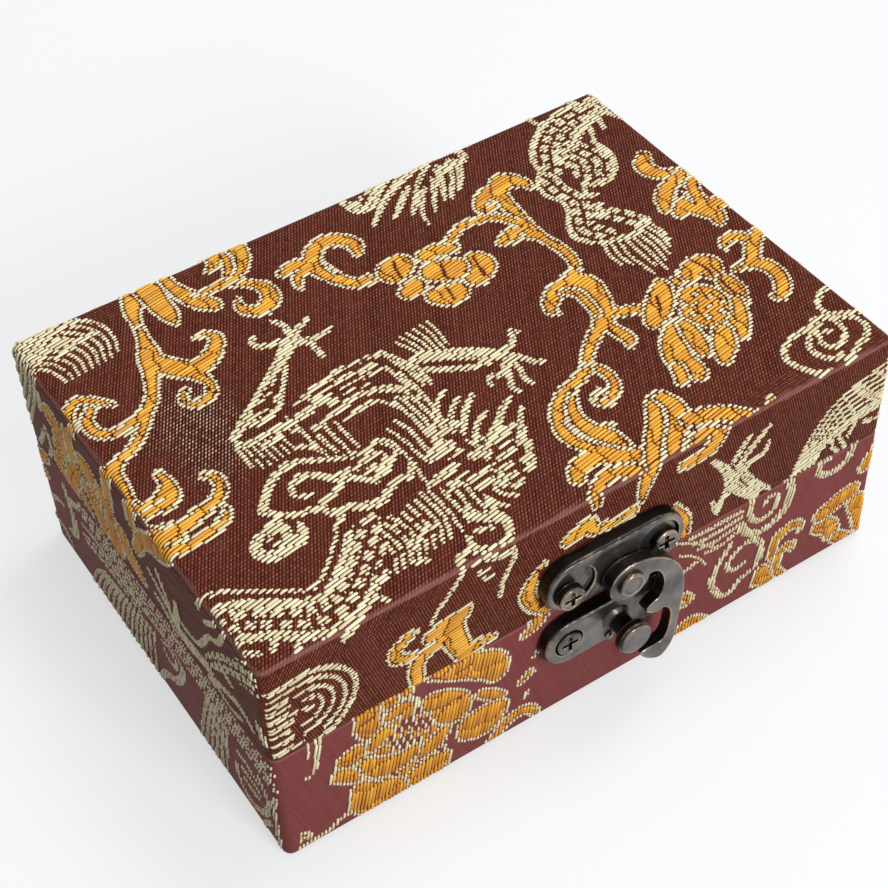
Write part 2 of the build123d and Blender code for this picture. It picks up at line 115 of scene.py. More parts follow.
white, tree = finish_named("white_board")
seen_by = add(tree, "ShaderNodeLightPath").outputs
glow = maths(tree, "MAXIMUM", seen_by["Is Camera Ray"], seen_by["Is Glossy Ray"])
glow = maths(tree, "MULTIPLY", glow, 0.6)
shaded(tree, {
    "Base Color": (0.38, 0.39, 0.40, 1), "Roughness": 0.9, "Specular IOR Level": 0.0,
    "Emission Color": (1, 1, 1, 1), "Emission Strength": glow})
floor_half = 3
floor_corners = [(x * floor_half, y * floor_half, 0) for x, y in ((-1, -1), (1, -1), (1, 1), (-1, 1))]
floor_mesh = bpy.data.meshes.new("floor")
floor_mesh.from_pydata(floor_corners, [], [(0, 1, 2, 3)])
floor_mesh.materials.append(white)
floor = in_scene("floor", floor_mesh)

room_light, room_dark = 0.57, 0.3 * 0.57
world = bpy.data.worlds.new("room")
world.use_nodes = True
bpy.context.scene.world = world
tree = world.node_tree
tree.nodes.clear()
seen_by = add(tree, "ShaderNodeLightPath").outputs
shown = maths(tree, "MAXIMUM", seen_by["Is Camera Ray"], seen_by["Is Glossy Ray"])
shown = maths(tree, "MAXIMUM", shown, seen_by["Is Transmission Ray"])
toward = add(tree, "ShaderNodeSeparateXYZ", {0: add(tree, "ShaderNodeTexCoord").outputs["Generated"]})
darker_left = ranged(tree, toward.outputs["X"], (-0.9, 0.2), (room_dark, room_light))
strength = ranged(tree, shown, (0, 1), (darker_left, 1.0))
background = add(tree, "ShaderNodeBackground", {"Color": (1, 1, 1, 1), "Strength": strength})
add(tree, "ShaderNodeOutputWorld", {0: background.outputs[0]})

for name, place, width, watts in (
    ("lamp_front", (0.1, -0.85, 0.5), 0.35, 5.2),
    ("lamp_overhead", (0.35, 0.1, 0.9), 0.4, 2.6),
):
    lamp = bpy.data.lights.new(name, "AREA")
    lamp.shape = "DISK"
    lamp.size = width
    lamp.energy = watts
    lamp_object = in_scene(name, lamp)
    lamp_object.location = place
    lamp_object.rotation_mode = "QUATERNION"
    lamp_object.rotation_quaternion = (Vector((0, 0, 0.02)) - Vector(place)).to_track_quat("-Z", "Y")


# The walls, the floor and the lid's top are 3 mm greyboard, glued at the butted corners before the
# box is covered. Grey pulp with darker and lighter flecks, and a trace of the grain of the sheet.
def noise(tree, vector, scale, detail, roughness=0.5):
    """Fractal noise."""
    return add(tree, "ShaderNodeTexNoise", {
        "Vector": vector, "Scale": scale, "Detail": detail, "Roughness": roughness}).outputs["Fac"]


def mixed(tree, share, first, second):
    """Two colours mixed, with more of the second where the share is high."""
    return add(tree, "ShaderNodeMix", {0: share, 6: first, 7: second}, data_type="RGBA").outputs[2]


def bumped(tree, height, strength, depth):
    """The way out of a surface that follows a height, its depth in metres."""
    return add(
        tree, "ShaderNodeBump", {"Height": height, "Strength": strength, "Distance": depth}).outputs[0]


def dress(material, *nodes):
    """Gives CAD meshes that are seen as they are a material of their own."""
    for name in nodes:
        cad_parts[name].data.materials.clear()
        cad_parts[name].data.materials.append(material)


greyboard, tree = finish_named("greyboard")
where = add(tree, "ShaderNodeTexCoord").outputs["Object"]
pulp = noise(tree, where, 900, 6, 0.7)
flecks = add(tree, "ShaderNodeTexVoronoi", {"Vector": where, "Scale": 1400})
fleck = ranged(tree, flecks.outputs["Distance"], (0.12, 0.3))
grey = mixed(tree, pulp, (0.30, 0.27, 0.235, 1), (0.47, 0.44, 0.39, 1))
grey = mixed(tree, fleck, (0.2, 0.16, 0.12, 1), grey)
dents = bumped(tree, pulp, 0.3, 0.0001)
shaded(tree, {"Base Color": grey, "Roughness": 0.9, "Specular IOR Level": 0.2, "Normal": dents})
dress(
    greyboard,
    "base_floor_board", "base_front_board", "base_back_board", "base_left_board", "base_right_board",
    "lid_top_board", "lid_front_board", "lid_back_board", "lid_left_board", "lid_right_board")


# The brocade is drawn the way the weaver's draft is: strokes through listed points, each point an
# x, a y and a half width in mm on the face of the box. Gold strokes get a cream border, scales a brick
# of short floats, fans a spread of strands, and bare strokes show the ground again.
BARE, GOLD, CREAM = 0, 1, 2
# The top, x and y
top_drawing = [
    # left scroll, its outer ring
    ("gold", [[(-51, 11.5, 1.2), (-50.2, 15.5, 1.1), (-48.8, 18, 1.1), (-46.9, 18.7, 1), (-45.1, 17.3, .9),
         (-43.5, 15.6, .6)]]),
    # vine with its hook leaf and small curl
    ("gold", [[(-33.6, 28, .9), (-34.3, 24.5, 1.1), (-35.2, 21, 1.8), (-36.6, 17.8, 1.3), (-38, 14.8, 1.1),
         (-39.8, 12.2, 1.2), (-42.5, 10.9, 1.1), (-45.5, 10.5, 1), (-47.7, 12, 1.1), (-47.7, 14.8, 1.1),
         (-46.3, 16.4, .9)],
        [(-40.6, 11.2, 1), (-42.6, 8.7, 1), (-45.2, 6.6, .95), (-47.5, 5.6, 1.1), (-49.3, 4.2, 1.6),
         (-49.9, 1, 1.7), (-51, -2.6, 2)],
        [(-35.4, 20.4, 1.6), (-33.8, 17.4, 1.9), (-31.6, 15.3, 1.9), (-29.2, 15.6, 1.7), (-27, 17.2, 1.4),
         (-25.9, 19.2, 1.15), (-27, 20.7, .7), (-28.4, 20.6, .45)],
        [(-31.6, 14.2, 1.3), (-30.9, 11.8, 1), (-31.8, 9.6, 1), (-33.9, 8.9, .9), (-35.3, 10, .85),
         (-34.9, 11.7, .75), (-33.9, 12.2, .5)]]),
    # leaf cluster at the back edge
    ("gold", [[(-33.7, 27.6, .8), (-33, 30.5, 1.4), (-31.6, 33, 1.9), (-29.6, 36, 2.4)]]),
    ("gold", [[(-29.1, 24.9, .6), (-29, 27.2, 1.6), (-29.2, 30.2, 1.9), (-29, 33.6, 2.2),
         (-28.6, 37, 2.2)]]),
    ("gold", [[(-26.2, 37, 1.3), (-26, 32.5, 1.2), (-25.4, 29.6, 1.5), (-24.2, 27, 1.8),
         (-22.9, 25.2, 1.4)]]),
    # scrolls at the back edge
    ("gold", [[(-15.4, 37, 2.4), (-15.2, 33.2, 2.4), (-16.6, 30.2, 2), (-18.8, 28.6, 1), (-21.5, 28.2, .8),
         (-24.3, 28.6, .5)], [(-18.4, 37, 1.6), (-18.2, 33.8, 1.4), (-19.3, 32.4, .9), (-20.5, 31.9, .4)]]),
    ("cream", [[(-16.2, 36, .3), (-15.9, 32.5, .35), (-17, 29.9, .3), (-18.8, 28.6, .3)]]),
    ("gold", [[(-19, 27.2, .5), (-16.6, 26.2, 1), (-15.2, 24, 1.4), (-15.8, 21.4, 1.6), (-18, 20.4, 1.4),
         (-19.9, 21.8, 1.1), (-19.9, 23.6, .7), (-19.3, 24.2, .4)]]),
    # lower left leaf curls
    ("gold", [[(-51, -3.2, 1.9), (-48, -4.2, 1.6), (-45.4, -3.7, 1.9), (-44.2, -1.6, 1.2),
         (-44.3, .5, .9)]]),
    ("gold", [[(-51, -11.5, 1.5), (-47.5, -12.3, 1.1), (-44, -12, 1), (-41.3, -11.4, .9),
         (-40, -9.9, .7)]]),
    ("gold", [[(-51, -7.4, 2), (-48.5, -9.6, 1.5), (-45.5, -9.2, 1.3), (-42.5, -8.3, 1.2), (-40, -7.4, 1.1),
         (-38.6, -5.5, 1.1), (-38.9, -3.6, .9), (-40, -3, .5)]]),
    ("cream", [[(-49.5, -4.1, .3), (-46, -3.8, .3)], [(-49, -7, .3), (-46, -8.2, .3)]]),
    # leaf with a curl in the middle
    ("gold", [[(0, 17.2, .8), (-2, 17, 1), (-4, 17.3, 1.2), (-5.4, 19, 1.3), (-6.4, 21.5, 1.6),
         (-7.1, 24, 1.8)],
        [(-7, 24.2, 1.6), (-6, 26.4, 1.6), (-3.6, 27.8, 1.4), (-1.4, 27, 1.5), (-.1, 25.2, 1.5),
         (-.2, 23.4, 1.1), (-1, 22.6, .5)], [(-8.2, 25.4, 1.4), (-10, 25.6, 1.3), (-11.8, 25.3, .9)],
        [(-8.6, 24, 1.1), (-10.2, 23.4, 1), (-11, 21.8, .8), (-11.1, 20.9, .4)]]),
    ("cream", [[(-5.5, 20.5, .3), (-5.9, 23.5, .35), (-4.6, 25.9, .35), (-2.6, 26.2, .35),
         (-1.2, 25, .35)]]),
    # five-petalled flower
    ("gold", [[(1.6, 16.4, 2.7), (3, 17.1, 2.4)]]),
    ("gold", [[(7, 16.6, 1.5), (9, 16.5, 1.6), (11, 16, 1.5)]]),
    ("gold", [[(.9, 11.4, 1.7), (2.4, 12, 1.9)]]),
    ("gold", [[(3.8, 8.4, 1.9), (5.4, 7.5, 2.4), (6.8, 7.8, 1.9)]]),
    ("gold", [[(10.6, 8.8, 2.2), (12.2, 10.2, 2.6), (12.6, 11.6, 1.9)]]),
    ("gold", [[(6.3, 13, 2.4), (8.2, 12, 2.6), (9.4, 12, 2)]]),
    ("bare", [[(2.7, 18.4, .1), (2, 16.5, .13), (1.8, 14.6, .1)],
        [(8.1, 14.2, .1), (7.2, 12, .13), (6.9, 10.4, .1)], [(5.8, 9, .1), (5.3, 6.4, .12)],
        [(12.6, 12.6, .1), (12.2, 11, .13), (11.6, 8.2, .1)]]),
    # vine to the right, its leaves and stem
    ("gold", [[(11.6, 17.2, .9), (14, 18.6, .95), (17, 18.9, .95), (19.5, 18.2, 1), (21, 16.8, 1),
         (22.4, 14.4, 1)],
        [(20.4, 20.8, 2), (21.6, 22.2, 2), (23.8, 22.8, 1.9), (25.6, 24, 2), (27.2, 23, 1.7),
         (28.1, 21.6, 1.1), (28.2, 20.4, .6)],
        [(23.4, 22, 1.5), (23.2, 19, 1.4), (22.9, 16, 1.3), (22.9, 13, 1.2), (23.1, 10, 1.1),
         (23.7, 7, 1.1), (23.9, 5, 1.1), (23.6, 3, 1), (22.6, 1.2, 1)],
        [(17.2, 12.7, .6), (18.4, 12.7, 1.3), (20, 13, 1.7), (21.8, 12.4, 1.7), (22.6, 11, 1.2)]]),
    ("cream", [[(20.6, 20.4, .5), (21.8, 21.1, .5)], [(20.5, 11.9, .45), (21.2, 12.3, .4)],
        [(22.6, 15.4, .3), (21.9, 18.6, .3), (22.3, 20.4, .3)]]),
    # curl under the stem and its branches
    ("gold", [[(22.4, 1.2, 1), (20.6, .2, 1.5), (18, -.4, 1.5), (16, -1.8, 1.4), (15, -3.4, 1),
         (15.5, -4.3, .5)],
        [(21, .2, 1.6), (22.4, -1.4, 1.8), (22.6, -3.6, 1.6), (21.8, -6, 1.6), (20.6, -8, 1.6),
         (19, -9.6, 1.4)], [(21.5, -8.6, 1), (23.5, -9.5, 1.2), (25.8, -10.4, 1.1)],
        [(19.6, -10.6, 1.1), (20, -12.6, 1.3), (20.3, -14.2, 1.2), (19.6, -15.3, .7)],
        [(20, -9.4, 1.3), (17, -10.9, 1.2), (14.4, -13, 1.1), (12, -15.4, .9)]]),
    ("gold", [[(18.6, -1.2, .8), (20, -2.6, 1), (20.1, -5, 1), (19.8, -7.4, .9)]]),
    # peony on the right
    ("gold", [[(33, -8.8, 1.2), (34.6, -8, 1.2)]]),
    ("gold", [[(35.2, -8.6, 1.7), (37.2, -7.6, 2), (38.7, -8.4, 2.2), (38.2, -9.8, 1.8)]]),
    ("gold", [[(25.2, -13.4, 1.6), (27.4, -11.6, 2.2), (29.4, -9.6, 2), (30.8, -7.8, 1.2)]]),
    ("gold", [[(38.6, -12.6, 1.7), (38.4, -14.6, 1.9), (37.6, -17.2, 1.3)]]),
    ("gold", [[(26.6, -16, 1.4), (24.6, -18.6, 2.1), (23.4, -21.5, 2.2), (23.6, -24.2, 2),
         (23.8, -25.6, .8)]]),
    ("gold", [[(20.6, -24.9, .7), (21.4, -24.6, 1.2), (22.2, -22.5, 1.2)]]),
    ("gold", [[(28.4, -16.2, 1.4), (27.7, -19.2, 1.7), (27.1, -21.8, 1.4)]]),
    ("gold", [[(36.9, -16.6, 1.5), (35.3, -19.2, 1.8), (33.4, -22.2, 1.4)]]),
    ("gold", [[(31.7, -20.4, 1.7), (30, -22.8, 1.9), (28.4, -24.8, 1.2)]]),
    ("gold", [[(31.6, -12.2, 1.6), (33.6, -12.6, 2.3), (34.3, -14.8, 2.6), (32.2, -16.8, 2.5),
         (30.6, -15, 1.8)]]),
    ("cream", [[(x, y, .33), (x + .5, y + .1, .33)] for x, y in [
        (30.4, -12.6), (33, -12.4), (31.7, -13.9), (34.5, -13.8), (30.4, -15.4), (33, -15.4), (35.2, -15.6),
        (31.6, -17), (34, -17.2)]]),
    ("bare", [[(37.4, -6.4, .1), (38, -9, .13), (37.6, -11, .1)], [(28.6, -9.6, .1), (27.3, -12.4, .12)],
        [(38, -12, .1), (38, -15.4, .12)]]),
    # hooks at the right
    ("gold", [[(51, -6.4, 1.2), (48, -7.6, 1.3), (46, -9.4, 1.4), (44.6, -11, 1.3), (43, -11.6, 1),
         (41.2, -11.4, .8)],
        [(46.6, -8, .9), (46.2, -6.2, 1.2), (44.6, -5.6, 1.2), (43.2, -6.4, .8), (42.8, -7.4, .4)],
        [(44, -11.6, 1.3), (45.4, -13.6, 1.5), (45.4, -16, 1.4), (44.2, -18.2, 1.4), (42.6, -19.4, 1),
         (41.8, -18.9, .6)]]),
    # motif at the right edge
    ("gold", [[(46.6, 16.7, 1.2), (45.1, 15, 1.6), (45.1, 13, 1.6), (46.4, 11.4, 1.3), (48.8, 10.6, 1),
         (51, 10, 1)]]),
    ("gold", [[(41.4, 4.8, 1.1), (43, 7.2, 1.6), (45.6, 9, 1.4), (48.5, 9.9, 1.2)]]),
    ("gold", [[(42.6, 2.8, 1.3), (44.4, 3.6, 1.9), (46, 1.6, 2), (46.6, -.6, 1.6), (45.8, -2, .9)],
        [(51, 8.6, .9), (48.4, 7.4, 1.2), (47.2, 5.2, 1.2), (47, 3, 1.3), (48.4, 1.6, 1.5),
         (51, 1.2, 1.6)]]),
    ("cream", [[(43.4, 5.2, .3), (45.6, 7.6, .3)], [(45.9, 6.4, .3), (45.6, 3.6, .3)]]),
    # lower scroll: ring, two bands and leaves at the front edge
    ("gold", [[(12.2, -15.4, .9), (13.6, -17, 1), (13.7, -19.4, 1), (12.4, -21.3, 1), (10.5, -22.2, .9),
         (9.3, -21.4, .6), (9.8, -20.4, .5), (11.2, -19.9, .5)]]),
    ("gold", [[(12, -16, 1), (9.4, -16.8, 1.1), (6.6, -17.9, 1.2), (4.4, -19.9, 1.4), (3, -22.5, 1.4),
         (3.1, -25.2, 1.6), (4.4, -27.6, 1.6), (6, -29.4, 1.6), (7.4, -31.4, 1.6), (8.6, -34, 1.7),
         (8.8, -37, 1.8)],
        [(-.7, -31, 1.3), (.6, -29.6, 1.5), (2.8, -29.3, 1.5), (5, -30.4, 1.6), (7.2, -32.6, 1.6)]]),
    ("gold", [[(7.4, -18.8, .8), (6.1, -20.6, 1.1), (5.5, -23, 1.3), (5.9, -25.4, 1.5), (7, -27.4, 1.6),
         (7.9, -29.6, 1.1)], [(7, -26, 1), (8.8, -25.9, .5)]]),
    ("gold", [[(-1, -36, 1.4), (.6, -33.9, 1.3), (3, -32.9, 1.2), (5.5, -33.8, 1.4), (7.6, -36.4, 1.6)]]),
    ("gold", [[(8.8, -34.4, 1.3), (10.6, -32.2, 1.4), (12.4, -30.2, 1.5), (14, -28.2, 1.4),
         (15.2, -26.3, 1.3), (16.4, -25.2, 1.2)]]),
    ("gold", [[(17, -25.6, 1.3), (17.4, -28, 1.6), (16.2, -30.4, 1.7), (14.4, -32, 1.5), (12.8, -33.6, 1.4),
         (11.4, -36.4, 1.4)]]),
    ("gold", [[(17.5, -31, 1.5), (20, -31.8, 1.6), (22.3, -33, 1.6), (24.4, -35.4, 1.6), (27, -36, 1.1),
         (28.8, -34.2, .7)]]),
    ("gold", [[(14.4, -35.8, 1.4), (17.5, -34.4, 1.5), (20, -36, 1.6)]]),
    ("cream", [[(3.9, -21.6, .3), (3.8, -24.6, .3), (5.2, -27.6, .3), (6.8, -29.6, .3)]]),
    # plume at the left
    ("fan", [[(-51, 27.8, .42), (-48.4, 27.2, .36), (-47.2, 25, .3), (-46.8, 23.2, .26)],
        [(-51, 33.6, .5), (-44, 35.4, .5), (-38.6, 32, .4), (-37.4, 28, .34), (-38.4, 24.3, .28)]], 9),
    ("cream", [[(-51, 31, .5), (-45, 33, .55), (-41, 33.4, .5)],
        [(-51, 29.6, .5), (-46.5, 30.4, .55), (-43, 30.8, .5)],
        [(-46, 28, .4), (-42.6, 29.2, .45), (-39, 29.6, .4)]]),
    # plume at the back edge
    ("cream", [[(3.6, 33.7, .6), (5, 31.6, 1.5), (7.8, 32, 2), (10.6, 33.4, 2.2), (14, 34.8, 2.2),
         (18, 36.2, 2.2)]]),
    ("cream", [[(11, 32.2, .7), (8.4, 30.2, .6), (6.2, 28.2, .5), (4.7, 26.8, .35)],
        [(13.4, 31.6, .7), (11.4, 29.4, .6), (9.4, 27.6, .5), (8, 26.4, .35)],
        [(17.4, 33, .7), (14.6, 30.2, .6), (12.4, 27.6, .5), (10.7, 25.5, .35)],
        [(15.2, 29.6, .5), (13, 26.6, .45), (11.8, 24.4, .35), (11.3, 22.2, .25)],
        [(17.6, 30.6, .6), (16, 28, .5), (14.8, 26, .4), (13.8, 24.1, .3)],
        [(19.4, 32, .7), (18.2, 29.2, .55), (17.2, 27.2, .45), (16.4, 25.6, .3)],
        [(21, 31.6, .7), (19.8, 29, .5), (18.4, 26.8, .45), (17.4, 25.4, .3)],
        [(22.4, 30.8, .6), (21, 28.4, .5), (19.4, 26.4, .35)],
        [(22, 32.6, .8), (20.4, 31.6, .9), (18.4, 33.6, 1)],
        [(22.8, 31.5, .6), (24.2, 32.4, .75), (24.3, 33.8, .75)], [(21.6, 36, .7), (23, 35, .6)],
        [(26.4, 35, .7), (27.4, 35.2, .5)]]),
    ("bare", [[(7.4, 33.2, .25), (6, 32, .25)], [(17, 33.6, .25), (12.4, 31.4, .3), (9, 29, .22)],
        [(20.4, 34.2, .25), (17.6, 32.2, .3), (14.6, 29.6, .22)], [(12.6, 34.2, .2), (9, 31.6, .22)],
        [(20, 30.4, .2), (18.8, 28.4, .2)]]),
    # claw at the left and its forearm
    ("cream", [[(-18.5, 12.8, .7), (-20.5, 13.3, .55), (-22, 14, .5), (-22.4, 15.4, .45), (-21.5, 16, .35)],
        [(-17.5, 12.8, .7), (-17, 14.8, .6), (-17.2, 16.4, .5), (-18, 17.3, .3)],
        [(-17.6, 12.8, .6), (-16, 13.8, .55), (-14.4, 14.6, .45), (-13.3, 15.2, .3)],
        [(-17.5, 11.7, .7), (-15, 11, .6), (-13, 11.2, .5), (-11.8, 11.6, .35)],
        [(-16, 11, .6), (-15.6, 9.2, .6), (-15.7, 7.4, .5)],
        [(-17.2, 12.5, 1.1), (-19.5, 11, 1.1), (-21, 9.7, .9), (-23, 8.4, .7), (-26, 6.3, .5),
         (-29, 4.1, .45), (-31.3, 2.5, .45), (-33.6, .6, .4)],
        [(-20.2, 10, .5), (-21.2, 8, .4), (-22.6, 6, .4), (-24.2, 3.8, .4), (-25.6, 1.8, .4)],
        [(-28.6, 2.4, .35), (-27.2, 2.8, .35)], [(-29.4, 1, .4), (-27.2, 1.6, .4), (-25.8, 2, .35)],
        [(-33.4, .2, .4), (-31.4, 1.6, .5), (-29.4, 3, .5)], [(-29.4, 1.3, .45), (-26.8, 1.5, .5)],
        [(-34, -.6, .3), (-33.8, -3, .3), (-33.8, -5.4, .3)],
        [(-27.4, -5.6, .3), (-25.6, -6.6, .5), (-24.8, -8.4, .4)]]),
    ("fan", [[(-33, -1.6, .26), (-32.8, -3.8, .26), (-32.6, -6.2, .24)],
        [(-28.2, -2, .26), (-27.8, -4, .26), (-27.6, -6, .24)]], 6),
    ("cream", [[(-24.2, 6.4, .28), (-23.4, 6.9, .28)], [(-26, 4.9, .28), (-25, 5.4, .28)],
        [(-25.4, 3.6, .26), (-24.8, 3.9, .26)], [(-27.4, 4.2, .28), (-26.6, 4.6, .28)],
        [(-30.4, 1.4, .3), (-29.4, 1.9, .3)]]),
    # dragon's back and second forearm
    ("fan", [[(-6.2, 3.9, .3), (-5.2, 1.6, .3), (-4.6, -.8, .3)],
        [(-.3, 5, .3), (-.2, 2.4, .3), (-.5, -.6, .3)]], 6),
    ("cream", [[(-33.6, -1.2, .5), (-29, -1.3, .5), (-25, -1.1, .55), (-21, -.4, .55), (-18.6, .1, .3)],
        [(-31, -3.2, .4), (-28, -2.8, .5)],
        [(-23.6, 1.2, .3), (-21.5, 1.9, .4), (-19.6, 2.7, .4), (-17, 2.9, .35)],
        [(-16.4, 3.5, .35), (-14.6, 3.7, .35)], [(-13.6, 3.5, .4), (-12.2, 3.5, .35)],
        [(-11, 3.6, .4), (-9.6, 3, .4)],
        [(-21.4, .8, .35), (-18, 1.4, .4), (-14, 1.8, .45), (-10.8, 1.6, .45)],
        [(-16.8, .3, .3), (-15.6, .4, .35)], [(-14.6, .5, .35), (-13.4, .6, .35)],
        [(-12.4, .5, .35), (-11.2, .4, .35)], [(-10.4, .3, .3), (-9.6, .2, .3)],
        [(-19.8, -1.3, .35), (-18.4, -1.1, .35)], [(-17, -.8, .35), (-15.4, -.7, .35)],
        [(-14.4, -.9, .3), (-13.4, -1.1, .3)],
        [(-24, -4.1, .35), (-21, -3.3, .45), (-18.6, -2.7, .5), (-16, -2.2, .5), (-13.6, -2.4, .5),
         (-11.2, -3.6, .7), (-9.8, -5, .45)],
        [(-19.6, -5, .3), (-17, -4.3, .35), (-14.6, -4.2, .35), (-13.3, -5.4, .3), (-12.7, -6.8, .25)],
        [(-11.9, -5.2, .3), (-10.6, -6.2, .35), (-9.2, -7, .3)],
        [(-8.9, 3.4, .4), (-8.2, 1.8, .55), (-7.8, 0, .8), (-7.2, -1.8, .7)],
        [(-7.4, -2.8, .5), (-6.8, -4.2, .45), (-6.4, -5.8, .4)],
        [(-9.6, -.8, .35), (-9.4, -3, .4), (-9, -5, .4)], [(-26.4, -2.6, .3), (-25.2, -3.2, .3)],
        [(-25.6, -.2, .3), (-25.2, -4.4, .3), (-25, -8, .35)], [(-23.9, -5.6, .4), (-23.4, -9, .4)],
        [(-22.3, -5, .4), (-22.1, -10, .4)], [(-20.8, -4.8, .35), (-20.6, -10, .35)],
        [(-6.4, -.6, .7), (-4, -1.2, 1), (-2, -2.2, 1.1), (.5, -3.7, 1.2), (2.5, -5.2, 1.1), (3.8, -6.4, 1),
         (5, -7.6, .8)], [(-5.5, -3.2, .5), (-3, -5, .5), (-.5, -6.3, .55), (2, -6.7, .6)],
        [(4.4, -6.2, .7), (6.4, -6, .55), (7.4, -4.8, .5), (7.9, -3.6, .5), (8.9, -4.3, .3)],
        [(4.6, -7.4, .9), (6.4, -8.8, .6), (7.2, -10.4, .5), (8.4, -11, .35)],
        [(4.6, -8, .7), (4.8, -10.4, .45), (4.3, -12.2, .45), (4.6, -13.7, .35)],
        [(3.6, -8.6, .7), (2.7, -10.8, .5), (2, -12.8, .5), (2.3, -13.9, .35)],
        [(3, -9.6, .45), (1.7, -9.9, .45), (.9, -9.3, .45), (.1, -9.9, .4), (-.1, -10.9, .3)]]),
    # mane
    ("cream", [[(-17.8, -11.2, .3), (-16.6, -13.6, .33), (-16.3, -16.6, .36), (-16.8, -20, .36)],
        [(-15.8, -9.8, .3), (-15.1, -12.6, .36), (-14.9, -16.4, .36)],
        [(-14.2, -8.9, .3), (-13.5, -12, .4), (-13.7, -16, .4)],
        [(-12.4, -5.8, .3), (-12, -9.5, .36), (-12, -13, .4), (-12.2, -16, .4)],
        [(-11.2, -6.4, .3), (-10.9, -11, .36), (-11.2, -16, .4)],
        [(-10.1, -5.4, .3), (-9.8, -10, .36), (-9.7, -14.6, .45)],
        [(-8.8, -1.6, .3), (-8.6, -6, .36), (-8.8, -10, .36), (-9.2, -13, .4)],
        [(-7.6, -1.2, .3), (-7.5, -5.6, .3)], [(-6.3, -1.6, .3), (-6.3, -5.4, .3)],
        [(-5.8, -8, .35), (-7.4, -8.8, .4), (-8.6, -10.6, .4), (-9.3, -12.4, .4)],
        [(-5, -10.2, .35), (-6.6, -11.2, .4), (-8, -13, .45), (-9, -15, .45)],
        [(-3.2, -10.8, .35), (-5, -12.1, .5), (-6.6, -13.9, .5), (-8, -15.8, .5)],
        [(-3.5, -14.6, .35), (-5.4, -15.4, .45), (-6.8, -16.9, .45), (-7.8, -18.2, .45)],
        [(.7, -14.1, .35), (-1.5, -15.3, .5), (-3.3, -17.1, .6), (-5.4, -18.4, .6)],
        [(.8, -16.6, .35), (-.4, -18, .4), (-1.8, -20, .45), (-3.2, -21.6, .45)],
        [(-.9, -19.6, .35), (-2.2, -21.4, .4), (-3, -23.4, .4), (-3.2, -25, .4)],
        [(-1.6, -22.4, .3), (-3.4, -24, .35), (-4.4, -25.6, .35)]]),
    # head
    ("cream", [[(-14.4, -17.2, .7), (-12.4, -16.9, .9), (-10.6, -16.7, .8)],
        [(-12, -18.8, .4), (-10, -18.5, .5)], [(-16.8, -21.4, .5), (-14.4, -20.7, .8), (-12, -20.2, .6)],
        [(-9.6, -20.1, .6), (-7.5, -19.9, .7), (-6.2, -19.4, .6)],
        [(-5, -19.4, .6), (-3.4, -18.8, .8), (-2, -18.5, .5)], [(-6.8, -22.4, .5), (-4.4, -22.2, .5)],
        [(-8.4, -21.4, .3), (-7.2, -21.2, .3)], [(-5.6, -20.9, .3), (-3.8, -20.6, .35)],
        [(-8.4, -17.4, .35), (-8, -18.8, .35)], [(-6.8, -17.8, .3), (-6.4, -18.6, .3)],
        [(-12.6, -28, .35), (-12.2, -29.4, .35)], [(-9.4, -23, .4), (-8, -22.8, .35)],
        [(-8.4, -24.2, .35), (-6, -24, .35)], [(-4.8, -24.4, .3), (-3.6, -24.2, .3)],
        [(-14.6, -22.5, .45), (-11.6, -22, .4)], [(-12, -23.6, .6), (-9, -23.2, .5)],
        [(-15.4, -23.6, .4), (-13.2, -23.4, .4)], [(-12, -25, .55), (-9.6, -24.7, .45)],
        [(-9.4, -26, .8), (-6.8, -25.8, .7)], [(-5.2, -26, .4), (-3.6, -25.8, .4)],
        [(-8, -27.5, .45), (-6.4, -27.2, .4)], [(-10.4, -26.6, .3), (-9.8, -28, .35), (-8.6, -29, .35)],
        [(-12, -27, .35), (-11.4, -28.8, .4), (-10.6, -29.8, .35)], [(-11.8, -12.6, .5), (-9, -12.8, .5)],
        [(-10.4, -14.2, .55), (-7.6, -14.2, .5)]]),
    # cloud in front of the head
    ("cream", [[(-36.5, -12.8, .7), (-35, -10.9, .65), (-33, -8.9, .6), (-31, -7.9, .6), (-29, -7.7, .5),
         (-27, -8.7, .45), (-25, -9.7, .45), (-22.7, -10.9, .45), (-20, -11.3, .42), (-18, -10.7, .42),
         (-16.8, -11.8, .42), (-16.8, -13.3, .42), (-18.2, -14.6, .45), (-20.5, -15.8, .45),
         (-22.2, -16.2, .45), (-23.5, -15, .45), (-24.8, -14, .6), (-26.4, -14.8, .5), (-28.4, -15.7, .5),
         (-31, -16.2, .5), (-33.5, -15.6, .45), (-35.3, -14.3, .5), (-36.5, -12.8, .7)],
        [(-31.9, -12.5, .45), (-31.2, -11, .5), (-29.3, -10.4, .5), (-27.7, -11.4, .55), (-26.6, -12.6, .6),
         (-25.6, -13.6, .7)], [(-31.2, -13.4, .4), (-29.9, -13.9, .4)],
        [(-25, -12.9, .35), (-23.6, -12.9, .35)], [(-22.4, -14.8, .4), (-20.6, -14.2, .4)],
        [(-22.2, -16.6, .35), (-19.6, -16, .4)],
        [(-22.8, -13.3, .4), (-21.5, -12.7, .4), (-19.7, -12.4, .4), (-18.6, -13.1, .36),
         (-19.2, -14.2, .36), (-21, -14.8, .4)],
        [(-30, -16.8, .45), (-29.3, -18.1, .6), (-27, -18.5, .6), (-25.2, -19.5, .7), (-23, -19.8, .75),
         (-21.2, -18.7, .6), (-19.5, -18.1, .55), (-17.9, -18.3, .5), (-16.9, -16.8, .4)],
        [(-35, -15, .3), (-37.2, -15.6, .5), (-39.4, -16.6, .7), (-40.4, -18.2, .85), (-39.6, -19.8, .9),
         (-37.4, -20.2, .9), (-35, -19.6, .9), (-33.8, -18.4, .7), (-33.7, -17.4, .4)],
        [(-38.3, -17.6, .3), (-37.4, -16.8, .35), (-36, -16.4, .6), (-35.7, -17.4, .75), (-36.6, -18.6, .5),
         (-38, -18.7, .35)]]),
    # dragon's body at the lower left
